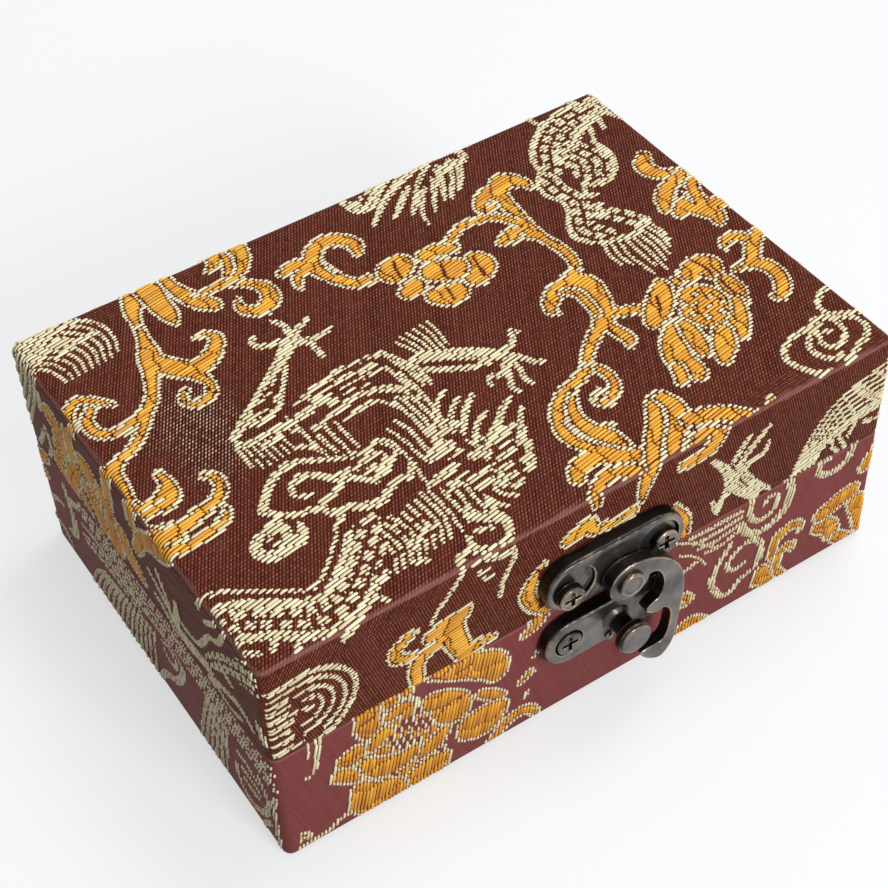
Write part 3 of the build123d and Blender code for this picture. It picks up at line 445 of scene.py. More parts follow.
    ("cream", [[(-51, -20.9, .3), (-47.6, -21.1, .3), (-44.8, -22.9, .3), (-41.6, -25, .3),
         (-38.8, -26.8, .3), (-37, -27, .3), (-35.2, -25.8, .3), (-33, -23.7, .3), (-31.2, -21.9, .3),
         (-30.1, -20.1, .3), (-28.4, -19.4, .3)]]),
    ("cream", [[(-51, -23.1, .7), (-47, -24, .8), (-44, -25.9, .9), (-40.6, -28.1, .8), (-37.6, -29, .7),
         (-35.2, -28.1, .8), (-33, -26.4, .9), (-31, -24.5, .8), (-29.6, -22.4, .6)]]),
    ("scales", [[(-51, -26.6, 2.3), (-47.4, -26.8, 2.4), (-43.6, -29, 2.3), (-40, -31.2, 1.9),
         (-36.6, -31.6, 1.9), (-33.6, -29.8, 2.2), (-30.6, -27, 2.6), (-28, -24.4, 2.6), (-26, -22.6, 1.9),
         (-24.4, -23.4, 1.2)]]),
    ("cream", [[(-51, -29.6, .9), (-48.2, -29.4, .7), (-45.4, -30.6, .7), (-43, -32.4, .7),
         (-40.4, -33.8, .7), (-37, -34.3, .7), (-33.8, -33.2, .7), (-31, -31.2, .6), (-28.8, -30.4, .5)],
        [(-45, -31, .5), (-46.4, -32.6, .4)], [(-42.6, -33, .5), (-44, -34.2, .4)],
        [(-39.4, -34.8, .5), (-40.6, -35.8, .4)], [(-50.2, -30.4, .5), (-48, -32.2, .4)],
        [(-32, -32.6, .5), (-31, -34.2, .35)], [(-36.2, -35, .5), (-33.4, -35.6, .5)]]),
    ("fan", [[(-27, -24.8, .36), (-26.6, -28, .36), (-28, -31, .3)],
        [(-18.4, -21.8, .36), (-18.2, -26.8, .4), (-19.4, -30, .3)]], 8),
    ("fan", [[(-17.4, -22.4, .36), (-17.2, -26, .36), (-17.6, -30, .3)],
        [(-13, -23.8, .36), (-13.2, -26, .36), (-13.2, -28.4, .3)]], 4),
    ("bare", [[(-28.6, -25.6, .2), (-24.6, -26, .22), (-20.6, -25.2, .2)],
        [(-27.4, -28.6, .2), (-23, -28.2, .22), (-19, -27.6, .2)]]),
    ("cream", [[(-24.4, -28.6, .45), (-21.6, -27.4, .45), (-19.6, -27.4, .4)],
        [(-25.4, -30.8, .4), (-23.6, -31.6, .4)], [(-18.4, -33.4, .5), (-20, -33.4, .6), (-21.4, -35, .5)],
        [(-17.6, -31.6, .55), (-17.9, -33.4, .55), (-16, -34.6, .6), (-13.8, -34.5, .6), (-12.7, -33.2, .6),
         (-12.2, -31.4, .8), (-13.4, -30, 1), (-15.2, -28.7, .7), (-15, -27, .4)],
        [(-16.2, -31, .4), (-14.2, -31.6, .35)]]),
    # tail at the back right
    ("scales", [[(48, 31.2, 1.6), (44, 30.8, 2.2), (40, 29.6, 3), (36, 26.6, 3.4), (33.6, 22.8, 2.4)]]),
    ("scales", [[(38.2, 23.2, 3), (39, 20.4, 3.5), (38, 18.4, 2.9)]]),
    ("scales", [[(31.4, 20.4, 1.8), (31.4, 17, 1.9), (32, 13.8, 1.8), (30.6, 10.6, 2.2), (29.4, 8, 2.1),
         (30.6, 5.8, 2)]]),
    ("scales", [[(33.4, 9.2, 1.4), (35, 7.4, 1.9), (36.2, 5.4, 1.7)]]),
    ("cream", [[(46, 33, .5), (42, 32.8, .5), (38, 31.3, .5), (34.6, 28.7, .5), (32.3, 25.6, .5),
         (31.7, 22.8, .4)],
        [(31.2, 22.4, .4), (29.3, 20, .42), (29, 17.6, .4), (30.1, 15, .4), (29.4, 12.4, .4),
         (27.5, 9.8, .42), (26.8, 7.4, .42), (28.2, 5, .5)],
        [(42.4, 24, .5), (42.8, 21, .5), (42, 18, .5), (39.8, 15.6, .5), (36.8, 15.3, .5),
         (35.2, 16.6, .4)], [(49, 30, .9), (45.6, 28.6, .8), (42, 27, .7), (39.4, 24.6, .6)],
        [(46.6, 28.6, .5), (45.8, 25.7, .4)], [(44, 27, .5), (43, 24.6, .4)],
        [(45.6, 31.8, .8), (48.5, 32.2, 1), (51, 31.4, 1)], [(44.4, 35.6, .5), (46, 33, .5)],
        [(49.8, 35.6, .5), (48.9, 33.2, .5)], [(48, 30.8, .5), (48.7, 28, .5), (50.2, 25.4, .4)],
        [(37.4, 35.6, .45), (37.9, 32.6, .4)], [(34.9, 16, .4), (34, 14, .45), (35.4, 13.4, .4)],
        [(32.8, 11.4, .5), (34.6, 11.2, .4)], [(32, 9.6, .5), (34.2, 9, .45)],
        [(29.2, 4.2, .5), (31.2, 3.6, .5), (33, 3.2, .5)],
        [(33.4, 2.8, .5), (35.6, 3.4, .6), (37.8, 4.6, .7)],
        [(29.4, 3.6, .3), (28.6, 1.2, .32), (28.8, -1.4, .28)],
        [(30.4, 3.4, .3), (29.8, .6, .33), (30, -2.4, .28)],
        [(31.6, 3, .3), (31, 0, .35), (31.2, -3.6, .33), (31.4, -5.2, .25)],
        [(32.6, 2.6, .3), (32.5, -1, .35), (32.7, -4.4, .28)],
        [(33.7, 2.6, .3), (33.8, -1, .35), (33.4, -5.8, .28)],
        [(34.7, 3, .3), (35, -.6, .35), (34.5, -4.2, .28)],
        [(35.7, 3.4, .3), (36.1, 0, .35), (35.8, -3.2, .28)],
        [(36.7, 4, .3), (37.2, .6, .33), (36.8, -2.2, .28)],
        [(37.5, 4.4, .3), (38, 1.4, .32), (37.8, -1, .28)]]),
    # cloud at the right front corner
    ("cream", [[(45, -33, .5), (42.4, -34.3, .5), (39.8, -35, .5), (37, -34.2, .55), (35.5, -31.8, .55),
         (35.2, -29.4, .55), (36.7, -27.6, .5), (39, -26.9, .42), (41.5, -26.6, .42), (43.4, -25.9, .45),
         (45.2, -26.7, .5), (47.6, -28.2, .5), (48.4, -30.2, .5), (47.2, -32.2, .5), (45, -33, .5)],
        [(51, -21.2, .45), (47.6, -22.2, .5), (45.7, -23.8, .5), (45.5, -25.6, .5), (46.8, -26.8, .42),
         (49.2, -27.9, .45), (51, -29, .45)],
        [(45.6, -27.6, .5), (45.1, -30, .5), (43.1, -31.5, .5), (41.5, -31.1, .5), (41.1, -29.6, .45),
         (42.2, -28.4, .42), (43.6, -28.8, .42)],
        [(43.4, -27, .36), (40.8, -27.9, .42), (39.1, -29.8, .45), (39.2, -31.8, .5), (40.4, -33.2, .5),
         (42, -33.3, .42)]]),
]

# The front flap of the lid, x and z on the wall
lid_front_drawing = [
    ("cream", [[(-51, 36, .4), (-48, 35.6, .4), (-45.5, 35.8, .42), (-43.5, 36, .42), (-40.6, 35, .42),
         (-38.4, 33, .42), (-37.2, 30.4, .42), (-37.4, 27.6, .42), (-38.8, 25, .42), (-40.6, 23.2, .42),
         (-42.8, 22.4, .4)],
        [(-49, 34.2, .35), (-45.6, 34.4, .35), (-43.4, 34.5, .35), (-41, 33.5, .35), (-39.4, 31.7, .35),
         (-38.7, 29.4, .35), (-39.1, 27, .35), (-40.4, 25.2, .35), (-42.2, 24, .35)],
        [(-45.4, 32.8, .3), (-42.8, 32.7, .32), (-41, 31.3, .32), (-40.3, 29.2, .32), (-41, 27, .32),
         (-42.6, 25.6, .32), (-45, 24.8, .32)],
        [(-44.4, 31.2, .3), (-42.6, 30.8, .3), (-41.9, 29, .3), (-43, 27.2, .3), (-45, 26.6, .3)],
        [(-44.6, 29.4, .35), (-43.4, 29, .35)], [(-51, 32.9, .35), (-46.6, 33, .35)],
        [(-51, 31.4, .32), (-46.6, 31.6, .35)], [(-51, 29.9, .45), (-45.8, 29.9, .45)],
        [(-51, 28.2, .32), (-46.2, 28.4, .35)], [(-51, 26.7, .35), (-46.8, 26.9, .35)],
        [(-51, 25, .35), (-46.6, 25.2, .35)], [(-51, 23.4, .4), (-45.4, 23.2, .4)],
        [(-38, 38.6, .6), (-36.6, 39.6, .7), (-35.4, 40.6, .6)]]),
    ("gold", [[(-28.2, 32.6, .6), (-29.6, 32.3, 1), (-31.2, 31, 1.2), (-31.2, 29.6, 1.2), (-29.8, 28.5, 1),
         (-28.5, 28.3, .7)]]),
    ("gold", [[(-26, 30.2, 1.4), (-23.5, 30.5, 1.9), (-21.4, 31.2, 1.5), (-20.2, 32, .6)],
        [(-22.8, 30.5, 1.9), (-22.6, 27.5, 2), (-21.8, 24.8, 1.8), (-21, 22.4, 1.4)],
        [(-24.5, 28.2, 1.1), (-27, 27.4, 1.3), (-28.4, 25.8, 1.4), (-28.4, 22.6, 1.3)],
        [(-21, 23.4, 1.2), (-18.5, 23.7, 1), (-16.5, 23.3, .6)]]),
    ("cream", [[(-25.8, 32.6, .4), (-24.5, 34.8, .4), (-22.5, 37, .4), (-20.9, 39.2, .4), (-20.4, 41, .4)],
        [(-20, 39.8, .4), (-17.4, 39.4, .45), (-15.4, 38.5, .45), (-13.5, 38.6, .45), (-13.2, 37, .45),
         (-14, 35.5, .45), (-15, 33.5, .45), (-15.5, 31, .45)], [(-18.6, 37.4, .35), (-16.8, 37.2, .35)],
        [(-18, 35.8, .35), (-16.6, 35.6, .35)]]),
    ("gold", [[(-8.6, 32.4, .6), (-10, 30.8, 1.1), (-11.2, 28.6, 1.5), (-10.8, 26.2, 1.4), (-9.4, 24, 1.2),
         (-8, 22.6, .9)]]),
    ("gold", [[(-5, 34.6, 1.2), (-3.4, 35.1, 1.7), (-1.6, 35.6, 1.4), (-1, 34, 1.1), (1, 33.6, 1),
         (3, 33.2, 1), (5.4, 33.6, 1.2)]]),
    ("gold", [[(9, 41, 1.6), (7.6, 38.4, 1.5), (7, 36.2, 1.1), (6.8, 34.8, .7)]]),
    ("gold", [[(-.6, 41, 1.2), (-.4, 38.4, .9)]]),
    ("gold", [[(13.6, 37.2, 1.1), (16, 37.2, 1.3), (18.4, 38, 1.6), (20, 40.4, 1.6)]]),
    ("gold", [[(12.6, 29.4, .9), (13.8, 27.4, 1.1), (14.6, 25.4, 1.2), (14.6, 22.4, 1.1)]]),
    ("cream", [[(18.6, 34.8, .4), (20, 33, .6), (21.4, 31, .9), (22.2, 29, 1.2), (22, 27.2, 1),
         (20.8, 25.6, .6), (20.2, 23.8, .6)], [(19.2, 26.4, .4), (19.6, 24.6, .4)],
        [(24.8, 35.9, .45), (23.4, 34, .6), (22.4, 32.4, .6)],
        [(28.2, 35.8, .45), (26.4, 34.4, .6), (24.6, 32.6, .7), (23.4, 31, .8)],
        [(28.4, 32.6, .35), (27.8, 31.2, .5), (26, 30.6, .5), (24, 30.2, .7)],
        [(22.6, 27.6, 1), (24.2, 25.6, .9), (25.8, 24, .8), (27, 22.6, .7)],
        [(23.6, 29.4, .4), (25.2, 27, .45), (26.6, 25, .4), (27.8, 23.4, .4)],
        [(24.6, 29, .4), (26.4, 26.4, .4), (28, 24.2, .4), (29.6, 22.6, .3)]]),
    ("fan", [[(33.6, 22.6, .36), (35, 26.4, .36), (37, 29.6, .36), (39.4, 32.6, .36), (42.4, 34.4, .36),
         (46.4, 35.4, .36), (51, 37, .36)],
        [(37.6, 22.8, .36), (38.6, 24.6, .36), (40.4, 26.4, .36), (42.4, 27.8, .36), (44.8, 28.8, .36),
         (47.6, 29.4, .36), (51, 29.8, .36)]], 6),
    ("cream", [[(40, 26.4, .6), (43, 27.3, .7), (46, 27.9, .7), (51, 28.6, .7)],
        [(40.4, 26, .4), (40.8, 24, .4), (42, 22.4, .4)],
        [(41.8, 25.8, .4), (42.6, 24, .4), (43.4, 22.4, .4)], [(44.6, 26.6, .4), (43.6, 24.8, .4)],
        [(46.4, 26, .4), (48, 25.4, .4), (50.4, 25.8, .4)]]),
]

# The front of the base's strip
base_front_drawing = [
    ("cream", [[(-49, 23, .4), (-49.5, 19, .4), (-49.8, 16, .4)],
        [(-47.4, 23, .45), (-47.8, 19.4, .4), (-48.2, 17.4, .3)],
        [(-46, 23, .4), (-46.4, 19, .4), (-46.8, 16.8, .3)], [(-44.8, 23, .4), (-45.2, 19.6, .35)],
        [(-43.2, 22, .4), (-43.8, 18.6, .4), (-44.6, 15.6, .4)],
        [(-50, 15.4, .45), (-47.4, 15.2, .45), (-45.4, 15.2, .4)], [(-48.6, 17.6, .3), (-46, 17.8, .35)],
        [(-49, 20.6, .3), (-45, 20.8, .3)], [(-50, 6.4, .3), (-49.4, 8, .3)],
        [(-51, 1, .4), (-46, 1.1, .4), (-43.4, 1.5, .4), (-42, 2.4, .4), (-40.5, 2.8, .4)],
        [(-50, 6.4, .3), (-49.4, 8, .3)]]),
    ("gold", [[(-48.7, 2.2, .6), (-48, 3.4, .8), (-46.9, 3.1, .6), (-46.5, 2.4, .4)]]),
    # the peony at the left of the strip: a gold fill, then its petals and its dotted heart
    ("gold", [[(-38, 12.6, 2.2), (-33, 12.6, 4), (-28.4, 11.4, 4), (-25, 12.4, 3)],
        [(-34, 17.6, 2.2), (-30.4, 18.6, 2)], [(-35.4, 5.6, 2.6), (-30.8, 5.4, 2.6), (-27, 5.4, 2)]]),
    ("petal", [[(-33.4, 23, 1.3), (-32.6, 21.4, 1.1)]]),
    ("petal", [[(-36, 22.6, 1.5), (-36.3, 19.4, 1.7), (-35.3, 17, 1.3)]]),
    ("petal", [[(-33, 18.6, .8), (-31.2, 18.9, 1.1), (-30.1, 18.2, 1), (-30.4, 16.8, .7)]]),
    ("petal", [[(-30.4, 22.8, .9), (-30.2, 21.6, .7)]]),
    ("petal", [[(-26, 22.6, 1.1), (-23.2, 21, 1.6), (-19.9, 19.5, 2.2), (-17.2, 17.6, 2.3),
         (-16.3, 15.4, 1.6)]]),
    ("petal", [[(-18.9, 12.6, .6), (-17.4, 11.2, .8), (-15.8, 9.7, .6)]]),
    ("petal", [[(-20.2, 6.6, 2.7), (-18.4, 6.4, 3), (-16.4, 7.3, 1.5)]]),
    ("petal", [[(-26.6, 16.9, 1.4), (-25, 15.2, 2.2), (-23.6, 13.2, 2.7), (-22.8, 11.8, 2)]]),
    ("petal", [[(-39.7, 14.3, 1.6), (-38.5, 14.6, 1.6)]]),
    ("petal", [[(-41, 12, 1.1), (-39.7, 10.8, 1.1), (-38.6, 9.7, .9)]]),
    ("petal", [[(-30.4, 1.4, 2.4), (-27.6, 2.4, 2.5), (-26, 3, 1.6)], [(-30, -.6, 2.4), (-26.3, -.6, 2)]]),
    ("petal", [[(-38.2, 6.2, 1.6), (-37.2, 3.6, 2.7), (-34.6, 2.4, 2.8), (-33, .6, 1.9)]]),
    ("petal", [[(-29, 6.9, 1), (-27, 7.5, 1.5), (-25.4, 8.7, 1.2)]]),
    ("petal", [[(-37.2, 11.6, .9), (-36, 9.8, 1.6), (-33.8, 8.3, 1.8), (-31.5, 8, 1.6), (-29.9, 8.8, 1)]]),
    ("petal", [[(-35.5, 14.4, 1.1), (-34.2, 15.6, 1.2), (-33.2, 15.2, .8)]]),
    ("petal", [[(-34.8, 12.4, .7), (-33.6, 11.6, .6)]]),
    ("bare", [[(-33.4 + 1.15 * i + .2 * j, 16 - 1.25 * j - .25 * i, .2),
               (-33.3 + 1.15 * i + .2 * j, 16.6 - 1.25 * j - .25 * i, .2)]
              for j in range(5) for i in range(6) if 1 < i + j < 8]),
    ("cream", [[(-32.9 + 1.15 * i + .2 * j, 15.7 - 1.25 * j - .25 * i, .22),
                (-32.8 + 1.15 * i + .2 * j, 16.3 - 1.25 * j - .25 * i, .22)]
               for j in range(5) for i in range(6) if 1 < i + j < 8]),
    ("bare", [[(-37.2, 20, .1), (-35.4, 20.3, .1)], [(-23, 19.8, .1), (-20.4, 20, .1)],
        [(-26.4, 15, .1), (-24.4, 14.4, .1), (-22, 14.6, .1)]]),
    ("gold", [[(-17.4, .4, 1.2), (-15.4, 2.6, 1.2), (-13, 3.6, 1.2), (-11, 2.8, 1.1), (-10, 1.2, .8)]]),
    ("gold", [[(-11.8, 20, .8), (-9.8, 21, 1.2), (-8.4, 22.4, 1)]]),
    ("gold", [[(-12.4, 10.2, .7), (-11, 11.2, .9)]]),
    ("cream", [[(-10.2, 14.2, .4), (-9.4, 15.3, .45)], [(-12, 6, .35), (-11.4, 7.4, .35)]]),
    ("gold", [[(15.2, 9, .9), (16.3, 7.5, 1), (15.4, 6.6, .6)]]),
    ("gold", [[(14.3, .6, 1.2), (17, 1.6, 1.6), (19.6, .2, 1.2)]]),
    ("cream", [[(15.2, 14.4, .4), (17, 15, .4)],
        [(13, 21.6, .2), (16, 20, .25), (18.4, 18, .2), (20.6, 16, .18)],
        [(14, 18.6, .2), (17, 16.4, .2), (19, 13.4, .16)],
        [(32.6, 23.6, .6), (33.7, 20.4, .75), (33.6, 17, .8), (31.6, 14.8, .75), (28.6, 14, .7),
         (26, 15.6, .7), (25, 18, .55)],
        [(27.2, 22.8, .42), (26.4, 20.4, .45), (26.8, 18, .45), (28.4, 16.7, .45), (30.3, 16.9, .45),
         (31.4, 18.6, .45), (31.2, 20.2, .45), (29.8, 20.6, .4), (28.9, 19.6, .4)],
        [(23.4, 14.8, .45), (22, 12.6, .5), (20.8, 10.4, .5), (20.4, 8, .5), (21.4, 5.8, .5),
         (22.6, 3.9, .5), (24.2, 3.7, .5), (26, 5.4, .5), (28.4, 6.4, .5), (29.4, 8.8, .55),
         (29, 11.6, .55), (27.4, 13, .5), (25.4, 12.8, .42), (23.6, 11.2, .42), (23.4, 9.4, .42),
         (24.8, 8.3, .4), (26.6, 8.8, .36)]]),
    ("fan", [[(14.6, 22.6, .42), (20, 22.4, .5), (25, 22.2, .45)],
        [(18.6, 16, .36), (21.4, 15.8, .45), (24.6, 16.8, .45)]], 5),
    ("gold", [[(36.6, 9, .5), (36.4, 10.6, .9), (34.6, 11.2, 1.1), (32.6, 10.4, 1.2), (31.6, 8.2, 1),
         (31.6, 6, .8)]]),
    ("gold", [[(35.6, 5.4, .5), (35.8, 6.6, .7), (34.4, 7, .9), (33, 5.6, 1), (32.6, 3.4, 1),
         (33.6, 1.4, 1), (35, -.4, 1)]]),
    ("gold", [[(29.2, 2.4, 1), (30, 4.4, 1.4), (30.8, 2.4, 1.6), (31.6, -.4, 1.4)]]),
    ("gold", [[(40.6, 7, 1.6), (42.6, 6, 1.8), (43.4, 4, 1.6)]]),
    ("gold", [[(47.6, 8.4, 1.9), (48.8, 5.4, 2), (49.8, 1.6, 1.8)]]),
    ("gold", [[(44.6, 2.4, 1.4), (46.4, .8, 1.4)]]),
    ("gold", [[(41, 9.8, 1.9), (43.6, 10.8, 2), (46, 11.4, 1.9)]]),
    ("gold", [[(48.2, 15.6, 1.4), (49.4, 17.6, 1.4), (50.6, 19.4, 1.2)]]),
    ("cream", [[(40.6, 21.6, .4), (39, 21.4, .5), (38.8, 20, .6), (40, 18.8, .6), (42.2, 18.4, .6),
         (44.2, 19.4, .6), (45, 21.2, .55), (46.6, 23, .4)]]),
]

# The left flap of the lid: the way to the front and z
lid_left_drawing = [
    ("fan", [[(-26.4, 41, .4), (-28, 36, .4), (-30.6, 31, .4), (-33.6, 26, .4), (-36, 22.6, .36)],
        [(-33.4, 41, .4), (-34.4, 38, .4), (-36.4, 34.6, .4)]], 6),
    ("cream", [[(-28.8, 27.6, .5), (-30.4, 24.8, .5), (-32.4, 22.4, .4)],
        [(-27.4, 29.4, .5), (-27, 26, .5), (-28.6, 22.6, .4)], [(-27.6, 33.4, .6), (-26.4, 37, .5)]]),
    ("petal", [[(-24.5, 34.6, 1.4), (-22.6, 35.2, 1.7), (-21.4, 33, 1.9), (-21.8, 30.6, 1.8)]]),
    ("petal", [[(-25.4, 24.6, 1.5), (-23.8, 24.4, 1.7), (-23.4, 22.2, 1.5)]]),
    ("petal", [[(-17, 29.6, 1.7), (-19, 27, 1.9), (-20.6, 24.4, 1.7), (-20.6, 22, 1.3)]]),
    ("petal", [[(-13.6, 33.6, 1.8), (-11.6, 33.8, 1.8), (-10.6, 32, 1.3)]]),
    ("petal", [[(-13.8, 28.2, 1.8), (-11.4, 25.8, 2.1), (-9.8, 22.4, 1.8)]]),
    ("gold", [[(-5, 41, 1.4), (-5.6, 36.5, 1.4), (-6.2, 33, 1.4)]]),
    ("petal", [[(-8.6, 32.4, 1.4), (-7, 30, 1.9), (-6.4, 27, 2), (-6.8, 24.4, 2), (-8.4, 21.6, 1.2)]]),
    ("petal", [[(-3.4, 29, 1.6), (-2.4, 26.4, 1.7), (-.6, 25.4, 1.5), (.8, 24.4, 1)]]),
    ("petal", [[(-17.6, 36.6, 1), (-17.4, 34, 1.3), (-18, 32, 1)]]),
    ("petal", [[(-12.6, 29.8, .8), (-11, 29, .9)]]),
    ("petal", [[(-24, 28.6, 1), (-22.6, 27.4, 1)]]),
    ("petal", [[(-17, 24.4, .9), (-15.6, 22.6, .9)]]),
    ("gold", [[(-15.4, 41, 1.4), (-15.2, 39, 1.1)]]),
    ("bare", [[(-22.4, 36.4, .1), (-21.8, 33, .12), (-22.4, 30, .1)],
        [(-7, 31.6, .1), (-6.2, 27, .12), (-7.4, 23, .1)], [(-18.2, 28.8, .1), (-20.6, 25, .1)]]),
    ("gold", [[(13, 41, 1.5), (9.6, 38.6, 2), (6, 36.8, 1.7), (3.8, 35, 1.5), (2.4, 32.6, 1.4),
         (1, 30.4, 1)], [(1.6, 36, 1.4), (2, 41, 1.6)]]),
    ("cream", [[(4.4, 29.6, .5), (6.4, 28, .6), (8.6, 26.6, .7), (10.6, 24.9, 1.1)],
        [(7.4, 32.6, .4), (8.2, 30.6, .5), (8.8, 29, .5), (9.6, 27, .5)],
        [(12.4, 30.6, .5), (12, 28.6, .7), (11.2, 26.4, .8)],
        [(5, 25, .6), (7, 24.6, .6), (9.4, 23, .6), (11.4, 21.8, .5)],
        [(10.6, 25, 1.1), (13.6, 24.2, 1.2), (16.6, 24.8, 1.1), (19.6, 25.2, 1.2)],
        [(12.6, 27.2, .4), (15, 27.4, .42), (18, 28.4, .42), (20, 31, .42), (22, 34, .42),
         (24.6, 35.6, .42), (26.4, 38.6, .42), (27, 41, .4)], [(24, 30.4, .6), (26.4, 29.2, .6)],
        [(19.8, 22.6, .9), (22, 24.4, .6), (24.6, 25.4, .6), (28, 26.4, .6), (31, 25, .5)],
        [(22, 23.2, .4), (25, 22.4, .4), (28, 23.4, .4)], [(33, 28, .8), (34, 25.6, .8)],
        [(20, 38, .4), (21.5, 41, .4)], [(21.6, 36.4, .4), (24.5, 39, .4)]]),
    ("scales", [[(20.6, 27.6, .9), (22.8, 29.8, 1.4), (25.4, 32.2, 1.5), (28.4, 34.4, 1.9), (32, 36.8, 2.4),
         (36, 38.4, 2.6)]]),
]

# The left end of the base's strip
base_left_drawing = [
    ("gold", [[(-36, 17.6, 1.6), (-33.4, 18.8, 1.5), (-31, 20.2, 1.2)]]),
    ("gold", [[(-34.6, 14.6, 1.3), (-33, 15.2, 1)]]),
    ("cream", [[(-26, 18.6, .6), (-25.5, 16, .8), (-24.9, 13, .9), (-25, 10, 1), (-26, 8, .8),
         (-28.4, 6.6, .5)], [(-24.6, 16.6, .7), (-21.4, 18, .6)],
        [(-33, 10, .5), (-30.6, 11.6, .5), (-28.6, 12, .4)],
        [(-34, 5, .5), (-31, 4.4, .5), (-29.4, 2.4, .4)]]),
    ("scales", [[(-19.4, 18.6, 1.8), (-14, 19, 2.4), (-8, 18.6, 2.8), (-2, 18.2, 2.9), (4, 18.4, 2.8),
         (10, 18.6, 2.8), (16, 18.4, 2.8), (22, 18.2, 2.8), (28, 18, 2.8), (36, 17.6, 2.8)]]),
    ("cream", [[(-21, 14.6, .4), (-16, 15.4, .45), (-10, 15, .45), (-4, 14.8, .45), (1, 15, .45),
         (6, 14.9, .45), (9, 13.5, .6), (8.6, 11, .7), (5.6, 6.8, .7), (2, 4.6, .7), (-.6, 1, .6)],
        [(3.4, 13.2, .4), (5.4, 13.8, .5), (7, 12.4, .5), (6.2, 10.4, .5), (4.2, 10.2, .45),
         (3.4, 11.6, .4)]]),
    ("fan", [[(-23, -1, .36), (-21.4, 3, .36), (-18.8, 6.6, .36), (-15.4, 9.4, .36)],
        [(-2.6, -1, .36), (-1.4, 4, .36), (-.6, 8.4, .36), (.6, 12.6, .36)]], 14),
    ("fan", [[(11, -1, .4), (12.4, 4, .4), (14.4, 9.4, .42), (16.8, 15.6, .4)],
        [(18.6, -1, .4), (19.4, 4, .4), (20.6, 9, .42), (21.8, 14.4, .4)]], 6),
    ("scales", [[(-21, 11.6, 1), (-16, 12.8, 1.4), (-10, 13.2, 1.2), (-4, 13.4, 1)]]),
    ("cream", [[(30, 13.2, .55), (31.6, 10.4, .6), (31.4, 7.4, .6), (29.6, 4.4, .6), (26.6, 2.6, .6),
         (23.8, 3.4, .55), (22.9, 5.4, .5), (23.4, 8, .45)],
        [(24.4, 11.8, .5), (27, 12, .55), (29, 11.2, .5)], [(24.8, 9, .5), (27, 9.2, .55), (29.2, 8.6, .5)],
        [(25, 6.8, .45), (26.8, 6.4, .5), (28.6, 6.6, .45)],
        [(28.6, -1, .45), (29.4, 1.6, .45), (31.4, 4.2, .45)],
        [(33, 0, .5), (33.4, 5, .5), (33.2, 10, .5), (34.2, 13, .5)]]),
]


def brushed(points, step=.2):
    """Points along a smooth stroke through given (x, y, half width) points."""
    p = np.array(points, float)
    p = np.vstack([2 * p[0] - p[1], p, 2 * p[-1] - p[-2]])
    runs = []
    for a, b, c, d in zip(p[:-3], p[1:-2], p[2:-1], p[3:]):
        t = np.linspace(0, 1, max(2, int(np.hypot(*(c - b)[:2]) / step)), endpoint=False)[:, None]
        straight, curved, sharper = c - a, 2 * a - 5 * b + 4 * c - d, 3 * b - a - 3 * c + d
        runs.append((2 * b + straight * t + curved * t**2 + sharper * t**3) / 2)
    return np.vstack(runs + [p[-2:-1]])


def fanned(first, last, count):
    """Strokes spread evenly from a first one to a last one."""
    a, b = brushed(first), brushed(last)
    t = np.linspace(0, 1, 9)
    a, b = (
        np.stack([np.interp(t, np.linspace(0, 1, len(s)), s[:, k]) for k in range(3)], 1) for s in (a, b))
    return [a + (b - a) * share for share in np.linspace(0, 1, count)]


def inside(u, v, strokes, along=False):
    """Distance of each place from the edge of the nearest stroke, less than zero inside it."""
    best = np.full(u.shape, 9.0)
    place = np.zeros(u.shape + (2,))
    for points in strokes:
        s = brushed(points)
        low, high = (s[:, :2] - s[:, 2:]).min(0) - 1, (s[:, :2] + s[:, 2:]).max(0) + 1
        rows, cols = np.nonzero((u > low[0]) & (u < high[0]) & (v > low[1]) & (v < high[1]))
        if not len(rows):
            continue
        du = u[rows, cols][:, None] - s[:, 0]
        dv = v[rows, cols][:, None] - s[:, 1]
        d = np.hypot(du, dv) - s[:, 2]
        k = d.argmin(1)
        n = np.arange(len(k))
        near = d[n, k]
        closer = near < best[rows, cols]
        best[rows[closer], cols[closer]] = near[closer]
        if along:
            way = np.gradient(s[:, :2], axis=0)
            way /= np.hypot(*way.T)[:, None]
            run = np.concatenate([[0], np.cumsum(np.hypot(*np.diff(s[:, :2], axis=0).T))])
            across = du[n, k] * -way[k, 1] + dv[n, k] * way[k, 0]
            forward = run[k] + du[n, k] * way[k, 0] + dv[n, k] * way[k, 1]
            place[rows[closer], cols[closer]] = np.stack([forward, across], 1)[closer]
    return best, place


scale_width, scale_length, scale_gap = 1.75, 2.2, .2


def drawn(u, v, motifs):
    """Which yarn shows at each place of the cloth."""
    yarn = np.zeros(u.shape, int)
    for kind, strokes, *count in motifs:
        if kind == "fan":
            strokes = fanned(*strokes, *count)
        d, place = inside(u, v, strokes, along=kind == "scales")
        if kind == "gold":
            yarn[d < .2] = CREAM
            yarn[d < -.5] = GOLD
        elif kind == "petal":
            yarn[d < .6] = CREAM
            yarn[d < -.05] = GOLD
        elif kind == "cream":
            yarn[d < .1] = CREAM
        elif kind == "bare":
            yarn[d < 0] = BARE
        elif kind == "fan":
            yarn[d < .06] = CREAM
        elif kind == "scales":
            forward, across = place[..., 0] / scale_length, place[..., 1] / scale_width
            gap = ((forward + np.floor(across) * .5) % 1 < scale_gap) | (across % 1 < scale_gap)
            yarn[(d < .1) & ~gap] = CREAM
    return yarn


